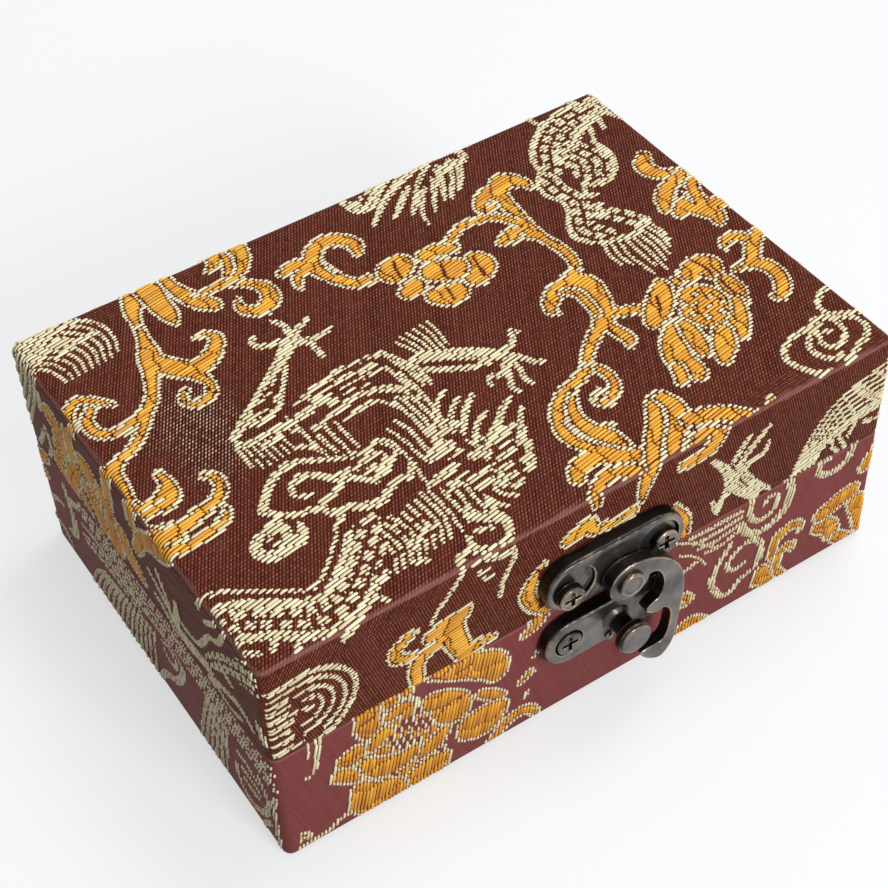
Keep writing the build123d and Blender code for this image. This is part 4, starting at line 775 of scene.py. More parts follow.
# The lid's cover is one piece of brocade pasted over the top and down the four walls, mitred at the
# corners and turned in over the rim. Its sizes are in mm, on the cloth and on the box.
lid_low, lid_high = (np.array(corner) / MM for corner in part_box("lid_brocade_cover"))
base_low, base_high = (np.array(corner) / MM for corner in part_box("base_brocade_cover"))
half_length, half_width = lid_high[0], lid_high[1]
lid_top, lid_rim, base_rim, base_under = lid_high[2], lid_low[2], base_high[2], base_low[2]
corner_round, edge_round, rim_round, least_round = 1.3, 1.2, 0.4, 0.05
cloth, wall_across, turned_in, turned_under = 0.5, 4.0, 10.0, 10.0
spans = {"front": half_length, "right": half_width, "back": half_length, "left": half_width}
depths = {"front": half_width, "right": half_length, "back": half_width, "left": half_length}


def rounded(corners, steps=6):
    """A wall's profile: places out and up, with round bends of a given radius at its corners."""
    corners = np.array([corner if len(corner) == 3 else corner + (0,) for corner in corners], float)
    places = [corners[:1, :2]]
    for before, here, after in zip(corners[:-2], corners[1:-1], corners[2:]):
        arriving, leaving = here[:2] - before[:2], after[:2] - here[:2]
        arriving, leaving = arriving / np.hypot(*arriving), leaving / np.hypot(*leaving)
        angle = np.linspace(0, math.pi / 2, steps + 1)[:, None]
        centre = here[:2] + here[2] * (leaving - arriving)
        places.append(centre + here[2] * (arriving * np.sin(angle) - leaving * np.cos(angle)))
    return np.vstack(places + [corners[-1:, :2]])


def run_along(places):
    """Length along a profile at each of its places, without those that stand on the one before."""
    gaps = np.hypot(*np.diff(places, axis=0).T)
    kept = np.concatenate([[True], gaps > 1e-6])
    return places[kept], np.concatenate([[0], np.cumsum(gaps[gaps > 1e-6])])


def on_profile(profile, length):
    """Out and up at lengths along a profile, and the way out of the cloth there."""
    places, run = profile
    at = [np.interp(length, run, places[:, k]) for k in (0, 1)]
    ahead = [np.interp(length + 0.02, run, places[:, k]) for k in (0, 1)]
    behind = [np.interp(length - 0.02, run, places[:, k]) for k in (0, 1)]
    way = np.stack([ahead[0] - behind[0], ahead[1] - behind[1]])
    way /= np.maximum(np.hypot(*way), 1e-9)
    return at[0], at[1], way[0], way[1]


def bend_at(out):
    """The cloth's bend at a corner of the box, so far out."""
    return np.maximum(corner_round + out, least_round)


def mitre_at(side, out):
    """How far from a side's middle its cloth goes, which is to the middle of the corner."""
    return spans[side] + out - bend_at(out) + bend_at(out) * math.pi / 4


def on_wall(side, along, out, up):
    """The place on a side so far along it from its middle, out from it and up, and the way out there."""
    along, out, up = np.broadcast_arrays(np.asarray(along, float), out, up)
    bend = bend_at(out)
    straight = spans[side] + out - bend
    turn = np.clip((np.abs(along) - straight) / bend, 0, math.pi / 4)
    beside = np.sign(along) * (np.minimum(np.abs(along), straight) + bend * np.sin(turn))
    away = depths[side] + out - bend + bend * np.cos(turn)
    way_beside, way_away = np.sign(along) * np.sin(turn), np.cos(turn)
    turned = {"front": (1, 0, 0, -1), "right": (0, 1, 1, 0), "back": (-1, 0, 0, 1), "left": (0, -1, -1, 0)}
    xs, ys, xa, ya = turned[side]
    place = np.stack([xs * beside + xa * away, ys * beside + ya * away, up], -1)
    way = [xs * way_beside + xa * way_away, ys * way_beside + ya * way_away, np.zeros_like(up)]
    return place, np.stack(way, -1)


def uneven(p):
    """How far the pasted cloth stands off its board at places p."""
    x, y, z = p[..., 0], p[..., 1], p[..., 2]
    wide = np.sin(0.11 * x + 0.07 * y + 1.3) * np.sin(0.13 * y - 0.09 * z + 0.4)
    small = np.sin(0.41 * x - 0.23 * z) * np.sin(0.37 * y + 0.31 * z + 2)
    small = small + 0.5 * np.sin(0.9 * x + 0.7 * y + 0.8 * z)
    return 0.05 * wide + 0.025 * small


skin_step = 2.5


def wrapped(name, rings, cloth_place, body, material, looped=False):
    """A closed skin of rings round the box. A ring is out, up and how far along the cloth it lies."""
    bows = np.linspace(0, math.pi / 4, 4)
    outline = []
    for side in spans:
        count = int(spans[side] * 2 / skin_step)
        outline += [(side, -1, angle) for angle in bows[2:0:-1]]
        outline += [(side, share, 0) for share in np.linspace(-1, 1, count)]
        outline += [(side, 1, angle) for angle in bows[1:]]
    places, on_cloth = [], []
    for out, up, length in rings:
        for side, share, angle in outline:
            along = share * (spans[side] + out - bend_at(out) + angle * bend_at(out))
            place, way = on_wall(side, along, out, up)
            places.append(place)
            on_cloth.append(cloth_place(side, along, length, place))
    around = len(outline)
    here = range(len(rings) - 1 + looped)
    quads = [
        (r * around + i, q * around + i, q * around + (i + 1) % around, r * around + (i + 1) % around)
        for r, q in zip(here, [*range(1, len(rings)), 0]) for i in range(around)
    ]
    last = (len(rings) - 1) * around
    ends = [] if looped else [tuple(range(around)), tuple(range(last + around - 1, last - 1, -1))]
    places = np.array(places)
    mesh = bpy.data.meshes.new(name)
    mesh.from_pydata((places * MM).tolist(), [], quads + ends)
    mesh.polygons.foreach_set("use_smooth", [True] * len(mesh.polygons))
    mesh.materials.append(material)
    corners = np.zeros(len(mesh.loops), int)
    mesh.loops.foreach_get("vertex_index", corners)
    cloth_map = mesh.uv_layers.new(name="cloth")
    cloth_map.data.foreach_set("uv", (np.array(on_cloth)[corners] * MM).ravel())
    piece = in_scene(name, mesh)
    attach(piece, body)
    return piece


pick_pitch, pick_lean, shown_inside = 0.56, 0.1, 1.0
lid_path = run_along(rounded([
    (-edge_round, lid_top), (0, lid_top, edge_round), (0, lid_rim, rim_round),
    (-wall_across, lid_rim, rim_round), (-wall_across, lid_rim + turned_in)]))
wall_start = edge_round * math.pi / 2
flat_x, flat_y = half_length - edge_round, half_width - edge_round


def on_lid(u, v):
    """Place and way out of the lid's cloth at u along the picks and v across, its side, and what counts."""
    past_x, past_y = np.abs(u) - flat_x, np.abs(v) - flat_y
    place = np.stack([u, v, np.full_like(u, lid_top)], -1)
    way = np.zeros_like(place)
    way[..., 2] = 1
    side = np.full(u.shape, "top", dtype="<U6")
    good = np.ones(u.shape, bool)
    for name, past, rival, beside, facing in (
        ("front", past_y, past_x, u, v < 0), ("back", past_y, past_x, -u, v > 0),
        ("left", past_x, past_y, -v, u < 0), ("right", past_x, past_y, v, u > 0),
    ):
        here = facing & (past > 0) & (past >= rival)
        out, up, way_out, way_up = on_profile(lid_path, past[here])
        wall, wall_way = on_wall(name, beside[here], out, up)
        place[here] = wall
        way[here] = wall_way * way_up[:, None] * -1 + np.array([0, 0, 1]) * way_out[:, None]
        side[here] = name
        good[here] = np.abs(beside[here]) <= mitre_at(name, out)
        good[here] &= past[here] < lid_path[1][-1] - turned_in + shown_inside
    return place, way, side, good


plate_middle, plate_half, hinge_middle, leaf_half = 1.4, 10.8, 28, 7.6


def under_metal(side, place, plate_height, plate_reach, leaf_height):
    """Where the clasp's plate or a hinge leaf covers the cloth, so that no floats are made there."""
    x, z = place[..., 0], place[..., 2]
    by_plate = (np.abs(x - plate_middle) < plate_half) & (np.abs(z - plate_height) < plate_reach)
    by_leaf = (np.abs(np.abs(x) - hinge_middle) < leaf_half) & leaf_height
    return ((side == "front") & by_plate) | ((side == "back") & by_leaf)


upper_plate_height, upper_plate_reach, upper_leaf_top = 27.8, 4, 29.6


def shown_on_lid(u, v, place, side, good):
    """Which yarn shows at each place of the lid's cloth."""
    on_top = place[..., 2] > lid_top - 0.35
    yarn = np.where(on_top, drawn(u, v, top_drawing), BARE)
    for name, drawing, beside, past in (
        ("front", lid_front_drawing, u, np.abs(v) - flat_y),
        ("right", lid_left_drawing, v, np.abs(u) - flat_x),
        ("back", lid_front_drawing, u, np.abs(v) - flat_y),
        ("left", lid_left_drawing, -v, np.abs(u) - flat_x),
    ):
        here = (side == name) & ~on_top
        z = np.where(past > wall_start, lid_top - edge_round - (past - wall_start), place[..., 2])
        z = np.maximum(z, lid_rim + 0.2)
        rows, cols = np.nonzero(here)
        block = (slice(rows.min(), rows.max() + 1), slice(cols.min(), cols.max() + 1))
        found = drawn(beside[block], z[block], drawing)
        yarn[block] = np.where(here[block], found, yarn[block])
    by_leaf = place[..., 2] < upper_leaf_top
    yarn[~good | under_metal(side, place, upper_plate_height, upper_plate_reach, by_leaf)] = BARE
    return yarn


tie_run, bind_run, shortest_float = 3.9, 2.5, 0.34


def floats_of(rows, starts, step, yarn):
    """The floats of each pick: its row, its ends and its colour, cut where a binding end crosses it."""
    across = rows[:, None] + 0 * starts
    tie = np.floor((starts + 0.5 * np.sin(0.7 * across) + 0.3 * np.sin(1.9 * across + 1)) / tie_run)
    turn = (np.arange(len(rows)) % 5)[:, None]
    wander = 0.5 * np.sin(1.7 * across) + 0.6 * np.sin(0.8 * starts)
    bind = np.floor((starts + 0.95 * turn + wander) / bind_run)
    code = yarn * 1000 + np.where(yarn == GOLD, tie, bind).astype(int) + 300
    code[yarn == BARE] = 0
    found = []
    for row, line in enumerate(code):
        cuts = np.flatnonzero(np.diff(np.concatenate([[-1], line, [-1]])))
        for first, last in zip(cuts[:-1], cuts[1:]):
            a, b = starts[first] - step / 2, starts[last - 1] + step / 2
            if line[first] and b - a > shortest_float:
                found.append((row, a, b, GOLD if line[first] < 2000 else CREAM))
    return found


thickness = {CREAM: 0.235, GOLD: 0.25}
short_float, station_step, bend_step = 1.15, 1.3, 0.35
end_girth, finer_at_ends, sunk, lifted = 0.62, 0.86, -0.04, 0.07


def yarn_mesh(name, floats, rows, lean, on_cloth, bends, seed):
    """Each float as a line of places on the cloth, with its girth and its way out at each."""
    random = np.random.default_rng(seed)
    along, row_at, girth, lift, tilt, starts = [], [], [], [], [], [0]
    for row, a, b, colour in floats:
        trim = random.uniform(0.03, 0.09)
        a, b = a + trim, b - trim
        end = min(0.24, (b - a) * 0.4)
        inner = list(np.linspace(a + end, b - end, max(2, int((b - a) / station_step) + 1)))
        if b - a < short_float:
            inner = [(a + b) / 2]
        for bend_start, bend_end in bends:
            if a < bend_end and b > bend_start:
                inner += list(np.arange(max(bend_start, a + end), min(bend_end, b - end), bend_step))
        inner = sorted(set(np.round(inner, 3)))
        stations = [a] + inner + [b]
        thick = thickness[colour] * random.uniform(0.88, 1.1)
        tilt += [0.07 * (place - (a + b) / 2) for place in stations]
        along += stations
        row_at += [rows[row]] * len(stations)
        fuller = [thick * random.uniform(0.96, 1.05) for _ in inner]
        girth += [thick * end_girth] + fuller + [thick * end_girth]
        lift += [sunk] + [lifted] * len(inner) + [sunk]
        starts.append(len(along))
    along, row_at, girth, lift = (np.array(values) for values in (along, row_at, girth, lift))
    count = np.diff(starts)
    seeds = np.repeat(random.uniform(0, 1, len(count)), count)
    stray = np.repeat(random.normal(0, 0.025, len(count)), count)
    across = row_at + lean * np.clip(along, -half_length, half_length) + stray + np.clip(tilt, -0.12, 0.12)
    place, way, side, good = on_cloth(along, across)
    girth[(side == "left") | (side == "right")] *= finer_at_ends
    place = place + way * (lift + uneven(place))[:, None]
    last = set(np.array(starts[1:]) - 1)
    edges = [(i, i + 1) for i in range(len(along) - 1) if i not in last]
    mesh = bpy.data.meshes.new(name)
    mesh.from_pydata((place * MM).tolist(), edges, [])
    mesh.attributes.new("girth", "FLOAT", "POINT").data.foreach_set("value", girth * MM)
    mesh.attributes.new("way_out", "FLOAT_VECTOR", "POINT").data.foreach_set("vector", way.ravel())
    mesh.attributes.new("yarn_seed", "FLOAT", "POINT").data.foreach_set("value", seeds)
    return mesh


def node_group(name, kind, inputs, outputs):
    """A node group with its sockets, and what its inputs give."""
    group = bpy.data.node_groups.new(name, kind)
    for way, sockets in (("INPUT", inputs), ("OUTPUT", outputs)):
        for socket, sort in sockets.items():
            group.interface.new_socket(socket, in_out=way, socket_type="NodeSocket" + sort)
    return group, add(group, "NodeGroupInput").outputs


# Geometry: a flattened yarn along every line, fuller in the middle, with closed ends
yarn_tree, given = node_group(
    "yarn_along_lines", "GeometryNodeTree",
    {"Lines": "Geometry", "Flatness": "Float", "Sides": "Int", "Finish": "Material"}, {"Yarn": "Geometry"})
lines = add(yarn_tree, "GeometryNodeMeshToCurve", {"Mesh": given["Lines"]})
way_out = add(yarn_tree, "GeometryNodeInputNamedAttribute", {"Name": "way_out"}, data_type="FLOAT_VECTOR")
girth = add(yarn_tree, "GeometryNodeInputNamedAttribute", {"Name": "girth"}, data_type="FLOAT")
turned = add(yarn_tree, "GeometryNodeSetCurveNormal", {
    "Curve": lines.outputs[0], "Normal": way_out.outputs[0]}, mode="FREE")
thick = add(yarn_tree, "GeometryNodeSetCurveRadius", {
    "Curve": turned.outputs[0], "Radius": girth.outputs[0]})
length = add(yarn_tree, "GeometryNodeSplineParameter")
marked = add(yarn_tree, "GeometryNodeStoreNamedAttribute", {
    "Geometry": thick.outputs[0], "Name": "run", "Value": length.outputs["Length"],
}, data_type="FLOAT", domain="POINT")
ring = add(yarn_tree, "GeometryNodeCurvePrimitiveCircle", {"Resolution": given["Sides"], "Radius": 1.0})
round_at = add(yarn_tree, "GeometryNodeSplineParameter")
ring = add(yarn_tree, "GeometryNodeStoreNamedAttribute", {
    "Geometry": ring.outputs[0], "Name": "round", "Value": round_at.outputs["Factor"],
}, data_type="FLOAT", domain="POINT")
squash = add(yarn_tree, "ShaderNodeCombineXYZ", {"X": given["Flatness"], "Y": 1.0, "Z": 1.0})
oval = add(yarn_tree, "GeometryNodeTransform", {"Geometry": ring.outputs[0], "Scale": squash.outputs[0]})
tube = add(yarn_tree, "GeometryNodeCurveToMesh", {
    "Curve": marked.outputs[0], "Profile Curve": oval.outputs[0], "Fill Caps": True})
if "Scale" in tube.inputs:
    yarn_tree.links.new(girth.outputs[0], tube.inputs["Scale"])
smooth = add(yarn_tree, "GeometryNodeSetShadeSmooth", {"Geometry": tube.outputs[0]})
real = add(yarn_tree, "GeometryNodeRealizeInstances", {"Geometry": smooth.outputs[0]})
dressed = add(yarn_tree, "GeometryNodeSetMaterial", {
    "Geometry": real.outputs[0], "Material": given["Finish"]})
add(yarn_tree, "NodeGroupOutput", {0: dressed.outputs[0]})


def applied(name, mesh, tree, values, body):
    """A piece whose mesh is what a geometry tree makes of another mesh, with its inputs set by name."""
    source = in_scene(name, mesh)
    modifier = source.modifiers.new("made", "NODES")
    modifier.node_group = tree
    for socket in tree.interface.items_tree:
        if socket.in_out == "INPUT" and socket.name in values:
            modifier[socket.identifier] = values[socket.name]
    graph = bpy.context.evaluated_depsgraph_get()
    seen = source.evaluated_get(graph)
    result = bpy.data.meshes.new_from_object(seen, preserve_all_data_layers=True, depsgraph=graph)
    bpy.data.objects.remove(source)
    piece = in_scene(name, result)
    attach(piece, body)
    return piece


def attribute(tree, name):
    """A value that the piece's own mesh carries."""
    return add(tree, "ShaderNodeAttribute", attribute_name=name).outputs["Fac"]


def silk(name, pale, deep, rough, painted_shade_depth):
    """A spun yarn: fine fibres that wind slowly round it, each float its own shade, and painted shade,
    deeper on its flanks and on the walls, where it turns sideways or down.
    """
    material, tree = finish_named(name)
    run = attribute(tree, "run")
    around = attribute(tree, "round")
    seed = attribute(tree, "yarn_seed")
    wind = maths(tree, "MULTIPLY_ADD", run, 700.0, around)
    long_way = maths(tree, "MULTIPLY", run, 1500.0)
    far = maths(tree, "MULTIPLY", seed, 90.0)
    round_way = maths(tree, "MULTIPLY", wind, 14.0)
    where = add(tree, "ShaderNodeCombineXYZ", {0: long_way, 1: round_way, 2: far})
    fibre = noise(tree, where.outputs[0], 1.0, 3, 0.6)
    shade = maths(tree, "MULTIPLY_ADD", fibre, 0.6, -0.3)
    shade = maths(tree, "MULTIPLY_ADD", seed, 0.6, shade)
    # Painted shade: the yarn is mixed deeper where its way out turns sideways or down, on its flanks and
    # over the walls.
    facing = add(tree, "ShaderNodeSeparateXYZ", {0: add(tree, "ShaderNodeTexCoord").outputs["Normal"]})
    painted_side_shade = ranged(tree, facing.outputs["Z"], (0.5, -0.1), (0, painted_shade_depth))
    shade = maths(tree, "ADD", shade, painted_side_shade, clamp=True)
    colour = mixed(tree, shade, pale, deep)
    bump = bumped(tree, fibre, 0.4, 0.00003)
    shaded(tree, {"Base Color": colour, "Roughness": rough, "Specular IOR Level": 0.35, "Normal": bump})
    return material


cream_silk = silk("cream_silk", (0.98, 0.92, 0.64, 1), (0.66, 0.54, 0.28, 1), 0.42, 0.22)
gold_silk = silk("gold_silk", (1.0, 0.54, 0.05, 1), (0.60, 0.18, 0.012, 1), 0.38, 0.34)

# The ground of the brocade: a maroon satin whose ends are bound in a fine twill of light dots
weave, given = node_group(
    "satin_ground", "ShaderNodeTree",
    {
        "Cell": "Vector", "Cloth": "Vector",
        "Ground": "Color", "Deep": "Color", "Dot": "Color", "Dots": "Float",
    },
    {"Color": "Color", "Height": "Float", "Roughness": "Float"})
parts = add(weave, "ShaderNodeSeparateXYZ", {0: given["Cell"]})
column = maths(weave, "FLOOR", parts.outputs["X"])
in_column = maths(weave, "FRACT", parts.outputs["X"])
in_row = maths(weave, "FRACT", parts.outputs["Y"])
off_x = maths(weave, "SUBTRACT", in_column, 0.5)
off_y = maths(weave, "SUBTRACT", in_row, 0.5)
wide = maths(weave, "MULTIPLY", off_x, 1.3)
off = add(weave, "ShaderNodeCombineXYZ", {0: wide, 1: off_y})
near = add(weave, "ShaderNodeVectorMath", {0: off.outputs[0]}, operation="LENGTH")
dot = ranged(weave, near.outputs["Value"], (0.42, 0.2))
cell = add(weave, "ShaderNodeVectorMath", {0: given["Cell"]}, operation="FLOOR")
each = add(weave, "ShaderNodeTexWhiteNoise", {"Vector": cell.outputs[0]})
each_end = add(weave, "ShaderNodeTexWhiteNoise", {"W": column}, noise_dimensions="1D")
side_of = maths(weave, "ABSOLUTE", off_x)
ridge = ranged(weave, side_of, (0.5, 0.12))

# A patch near the left end is brighter, its dots paler, warmer and more often, on a deeper ground,
# and the whole cloth is a little cloudy
metres = add(weave, "ShaderNodeVectorMath", {0: given["Cloth"], "Scale": 1000.0}, operation="SCALE")
long_way = add(weave, "ShaderNodeVectorMath", {0: metres.outputs[0], 1: (1.6, 1, 0)}, operation="MULTIPLY")
to_patch = add(weave, "ShaderNodeVectorMath", {
    0: long_way.outputs[0], 1: (-58, 8, 0)}, operation="DISTANCE")
patch = noise(weave, metres.outputs[0], 0.25, 3, 0.6)
patch = maths(weave, "MULTIPLY_ADD", patch, 14.0, to_patch.outputs["Value"])
bright = ranged(weave, patch, (19.0, 12.0))
cloudy = noise(weave, metres.outputs[0], 0.8, 6, 0.75)
fine = maths(weave, "MULTIPLY_ADD", each_end.outputs["Value"], 0.35, cloudy)
fine = maths(weave, "MULTIPLY_ADD", ridge, 0.5, fine)
mottle = ranged(weave, fine, (0.5, 1.35))
darker = maths(weave, "MULTIPLY_ADD", bright, -0.5, mottle, clamp=True)
base = mixed(weave, darker, given["Deep"], given["Ground"])
often = maths(weave, "MULTIPLY_ADD", bright, 0.3, given["Dots"])
some = ranged(weave, each.outputs["Value"], after=(0.15, 1.05))
red = maths(weave, "LESS_THAN", each.outputs["Value"], 0.06)
some = maths(weave, "MAXIMUM", some, red)
some = maths(weave, "MULTIPLY", some, often)
lit = maths(weave, "MULTIPLY", dot, some, clamp=True)
warm = mixed(weave, bright, given["Dot"], (0.74, 0.5, 0.35, 1))
warm = mixed(weave, red, warm, (0.32, 0.08, 0.03, 1))
colour = mixed(weave, lit, base, warm)
height = maths(weave, "MULTIPLY_ADD", lit, 0.8, ridge)
rough = ranged(weave, mottle, after=(0.62, 0.48))
add(weave, "NodeGroupOutput", {"Color": colour, "Height": height, "Roughness": rough})


def brocade_ground(name, ground, deep, dots, relief, turned):
    """The maroon ground of a cover, its twill leaning one way on the top and the other way on the walls."""
    material, tree = finish_named(name)
    on_cloth = add(tree, "ShaderNodeUVMap", uv_map="cloth")
    place = add(tree, "ShaderNodeSeparateXYZ", {0: on_cloth.outputs[0]})
    across, up = (place.outputs[axis] for axis in ("YX" if turned else "XY"))
    far = maths(tree, "ABSOLUTE", up)
    on_wall = maths(tree, "GREATER_THAN", far, 0 if turned else (flat_y + 1) * MM)
    far = maths(tree, "ABSOLUTE", across)
    on_end = maths(tree, "GREATER_THAN", far, (flat_x + 1) * MM)
    on_wall = maths(tree, "MAXIMUM", on_wall, on_end)
    lean = ranged(tree, on_wall, after=(-twill_lean, wall_twill_lean))
    pitch = ranged(tree, on_wall, after=(1 / (twill_pitch * MM), 1 / (wall_twill_pitch * MM)))
    column = maths(tree, "MULTIPLY_ADD", up, lean, across)
    column = maths(tree, "MULTIPLY", column, pitch)
    row = maths(tree, "MULTIPLY", up, 1 / (dot_pitch * MM))
    cell = add(tree, "ShaderNodeCombineXYZ", {0: column, 1: row})
    woven = add(tree, "ShaderNodeGroup", {
        "Cell": cell.outputs[0], "Cloth": on_cloth.outputs[0], "Ground": ground, "Deep": deep,
        "Dot": (0.36, 0.15, 0.10, 1), "Dots": dots}, node_tree=weave).outputs
    # Painted highlight: along the bends of the edges, where the way out leans about 0.62 up, the ground is
    # mixed paler and pinker, broken up by noise.
    facing = add(tree, "ShaderNodeSeparateXYZ", {0: add(tree, "ShaderNodeTexCoord").outputs["Normal"]})
    off_bend = maths(tree, "SUBTRACT", facing.outputs["Z"], 0.62)
    off_bend = maths(tree, "ABSOLUTE", off_bend)
    patchy = noise(tree, on_cloth.outputs[0], 260, 4)
    painted_edge_highlight = maths(tree, "MULTIPLY_ADD", patchy, -0.5, off_bend)
    painted_edge_highlight = ranged(tree, painted_edge_highlight, (0.05, -0.15), (0, 0.45))
    rubbed = mixed(tree, painted_edge_highlight, woven["Color"], (0.36, 0.17, 0.16, 1))
    bump = bumped(tree, woven["Height"], relief, 0.00006)
    shaded(tree, {
        "Base Color": rubbed, "Roughness": woven["Roughness"], "Specular IOR Level": 0.03, "Normal": bump})
    return material


twill_lean, wall_twill_lean, twill_pitch, wall_twill_pitch, dot_pitch = 0.6, 0.3, 0.53, 0.4, pick_pitch
lid_ground = brocade_ground(
    "lid_ground", (0.135, 0.030, 0.018, 1), (0.042, 0.006, 0.003, 1), 0.8, 0.5, False)
# The base's strip is the same brocade as the lid's cover, but its ground is painted lighter and pinker: a
# painted sheen of its satin.
base_ground_painted_sheen = brocade_ground(
    "base_ground_painted_sheen", (0.245, 0.067, 0.065, 1), (0.185, 0.049, 0.048, 1), 0.1, 0.12, True)

# The lid's cover itself: out over the top, down, round the rim and up, and back inside the cloth
inside_round, rim_bend, inner_from, inner_to = 0.15, 0.7, 3.6, 4.6
inward = np.linspace(-half_width + 0.06, -edge_round, 14)
lid_rings = [(out, lid_top, 0) for out in inward]
lid_rings += [(out, up, run) for (out, up), run in zip(lid_path[0][1:], lid_path[1][1:])]
lid_back_of = rounded([
    (-wall_across + cloth, lid_rim + turned_in), (-wall_across + cloth, lid_rim + cloth, inside_round),
    (-cloth, lid_rim + cloth, inside_round), (-cloth, lid_top - cloth, edge_round - cloth),
    (-edge_round, lid_top - cloth)], 3)
lid_rings += [(out, up, lid_path[1][-1]) for out, up in lid_back_of]
lid_rings += [(out, lid_top - cloth, 0) for out in inward[::-1][1:]]


def lid_cloth_place(side, along, length, place):
    """Where on the lid's cloth a place of the cover lies, along the picks and across them."""
    if length == 0:
        u, v = place[0], place[1]
    elif side in ("front", "back"):
        u, v = (along, -flat_y - length) if side == "front" else (-along, flat_y + length)
    else:
        u, v = (-flat_x - length, -along) if side == "left" else (flat_x + length, along)
    return u, v - pick_lean * np.clip(u, -half_length, half_length)


lid_cover = wrapped("lid_brocade", lid_rings, lid_cloth_place, "lid", lid_ground)
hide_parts("lid_brocade_cover")


def floats_on(body, floats, rows, lean, on_cloth, bends, seed):
    """The cream and the gold floats of a cover, two pieces that ride on its body."""
    made = []
    for tint, colour, finish in (("cream", CREAM, cream_silk), ("gold", GOLD, gold_silk)):
        name = body + "_" + tint + "_floats"
        chosen = [f for f in floats if f[3] == colour]
        mesh = yarn_mesh(name, chosen, rows, lean, on_cloth, bends, seed + colour)
        made.append(applied(
            name, mesh, yarn_tree, {"Flatness": 0.7, "Sides": 5, "Finish": finish}, body))
    return made


step = 0.1
sheet_u = np.arange(-flat_x - lid_path[1][-1], flat_x + lid_path[1][-1], step)
sheet_rows = np.arange(-flat_y - lid_path[1][-1] - 7, flat_y + lid_path[1][-1] + 7, pick_pitch)
u, v = np.meshgrid(sheet_u, sheet_rows)
v = v + pick_lean * np.clip(u, -half_length, half_length)
place, way, side, good = on_lid(u, v)
lid_yarn = shown_on_lid(u, v, place, side, good)
lid_floats = floats_of(sheet_rows, sheet_u, step, lid_yarn)
rim_at = flat_x + wall_start + lid_top - lid_rim - edge_round - rim_round
lid_bends = [
    (flat_x, flat_x + wall_start), (rim_at, rim_at + rim_bend), (rim_at + inner_from, rim_at + inner_to)]
lid_bends += [(-last, -first) for first, last in lid_bends]
lid_yarns = floats_on("lid", lid_floats, sheet_rows, pick_lean, on_lid, lid_bends, 11)


# The base's cover is one strip of the same brocade round the four walls, turned in over the rim and
# under the floor. It was cut across the bolt, so its picks stand upright.
base_path = run_along(rounded([
    (-turned_under, base_under), (0, base_under, rim_round), (0, base_rim, rim_round),
    (-wall_across, base_rim, rim_round), (-wall_across, base_rim - turned_in)]))
base_wall_start = turned_under - rim_round + rim_round * math.pi / 2
base_lean = 0.16
side_starts = {
    "front": half_length, "right": 2 * half_length + half_width,
    "back": 3 * half_length + 2 * half_width, "left": 4 * half_length + 3 * half_width}


def on_base(t, s):
    """Place and way out of the base's cloth at t up the wall and s round it, its side, and what counts."""
    place, way = np.zeros(t.shape + (3,)), np.zeros(t.shape + (3,))
    side = np.full(t.shape, "none", dtype="<U6")
    good = np.zeros(t.shape, bool)
    out, up, way_out, way_up = on_profile(base_path, t)
    for name, middle in side_starts.items():
        here = np.abs(s - middle) <= spans[name]
        wall, wall_way = on_wall(name, (s - middle)[here], out[here], up[here])
        place[here] = wall
        way[here] = wall_way * way_up[here][:, None] - np.array([0, 0, 1]) * way_out[here][:, None]
        side[here] = name
        good[here] = np.abs(s - middle)[here] <= mitre_at(name, out[here])
    good &= (t > turned_under) & (t < base_path[1][-1] - turned_in + shown_inside)
    return place, way, side, good


base_rings = [(out, up, run) for (out, up), run in zip(*base_path)]
base_inside = rounded([
    (-wall_across + cloth, base_rim - turned_in), (-wall_across + cloth, base_rim - cloth, inside_round),
    (-cloth, base_rim - cloth, inside_round), (-cloth, base_under + cloth, inside_round),
    (-turned_under, base_under + cloth)], 3)
base_rings += [(out, up, base_path[1][-1]) for out, up in base_inside]


def base_cloth_place(side, along, length, place):
    """Where on the base's strip a place of the cover lies, along the picks and across them."""
    return length, side_starts[side] + along


base_cover = wrapped("base_brocade", base_rings[::-1], base_cloth_place, "base", base_ground_painted_sheen, looped=True)
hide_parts("base_brocade_cover")
strip_t = np.arange(0, base_path[1][-1], step)
strip_rows = np.arange(pick_pitch / 2, 4 * (half_length + half_width), pick_pitch)
t, s = np.meshgrid(strip_t, strip_rows)
s = s + base_lean * t
place, way, side, good = on_base(t, s)
base_yarn = np.zeros(t.shape, int)
z = np.clip(base_under + rim_round + t - base_wall_start, 0.3, base_rim - 0.2)
for name, way_round, drawing in (
    ("front", 1, base_front_drawing), ("right", 1, base_left_drawing),
    ("back", -1, base_front_drawing), ("left", 1, base_left_drawing),
):
    along = s - side_starts[name]
    base_yarn = np.where(np.abs(along) <= spans[name], drawn(way_round * along, z, drawing), base_yarn)
lower_plate_height, lower_plate_reach, lower_leaf_foot = 16.3, 3.6, 14.4
by_leaf = place[..., 2] > lower_leaf_foot
base_yarn[~good | under_metal(side, place, lower_plate_height, lower_plate_reach, by_leaf)] = BARE
base_floats = floats_of(strip_rows, strip_t, step, base_yarn)
rim_at = base_wall_start + base_rim - base_under - 2 * rim_round
base_bends = [
    (turned_under - 0.4, turned_under + 0.3), (rim_at, rim_at + rim_bend),
    (rim_at + inner_from, rim_at + inner_to)]
base_yarns = floats_on("base", base_floats, strip_rows, base_lean, on_base, base_bends, 31)


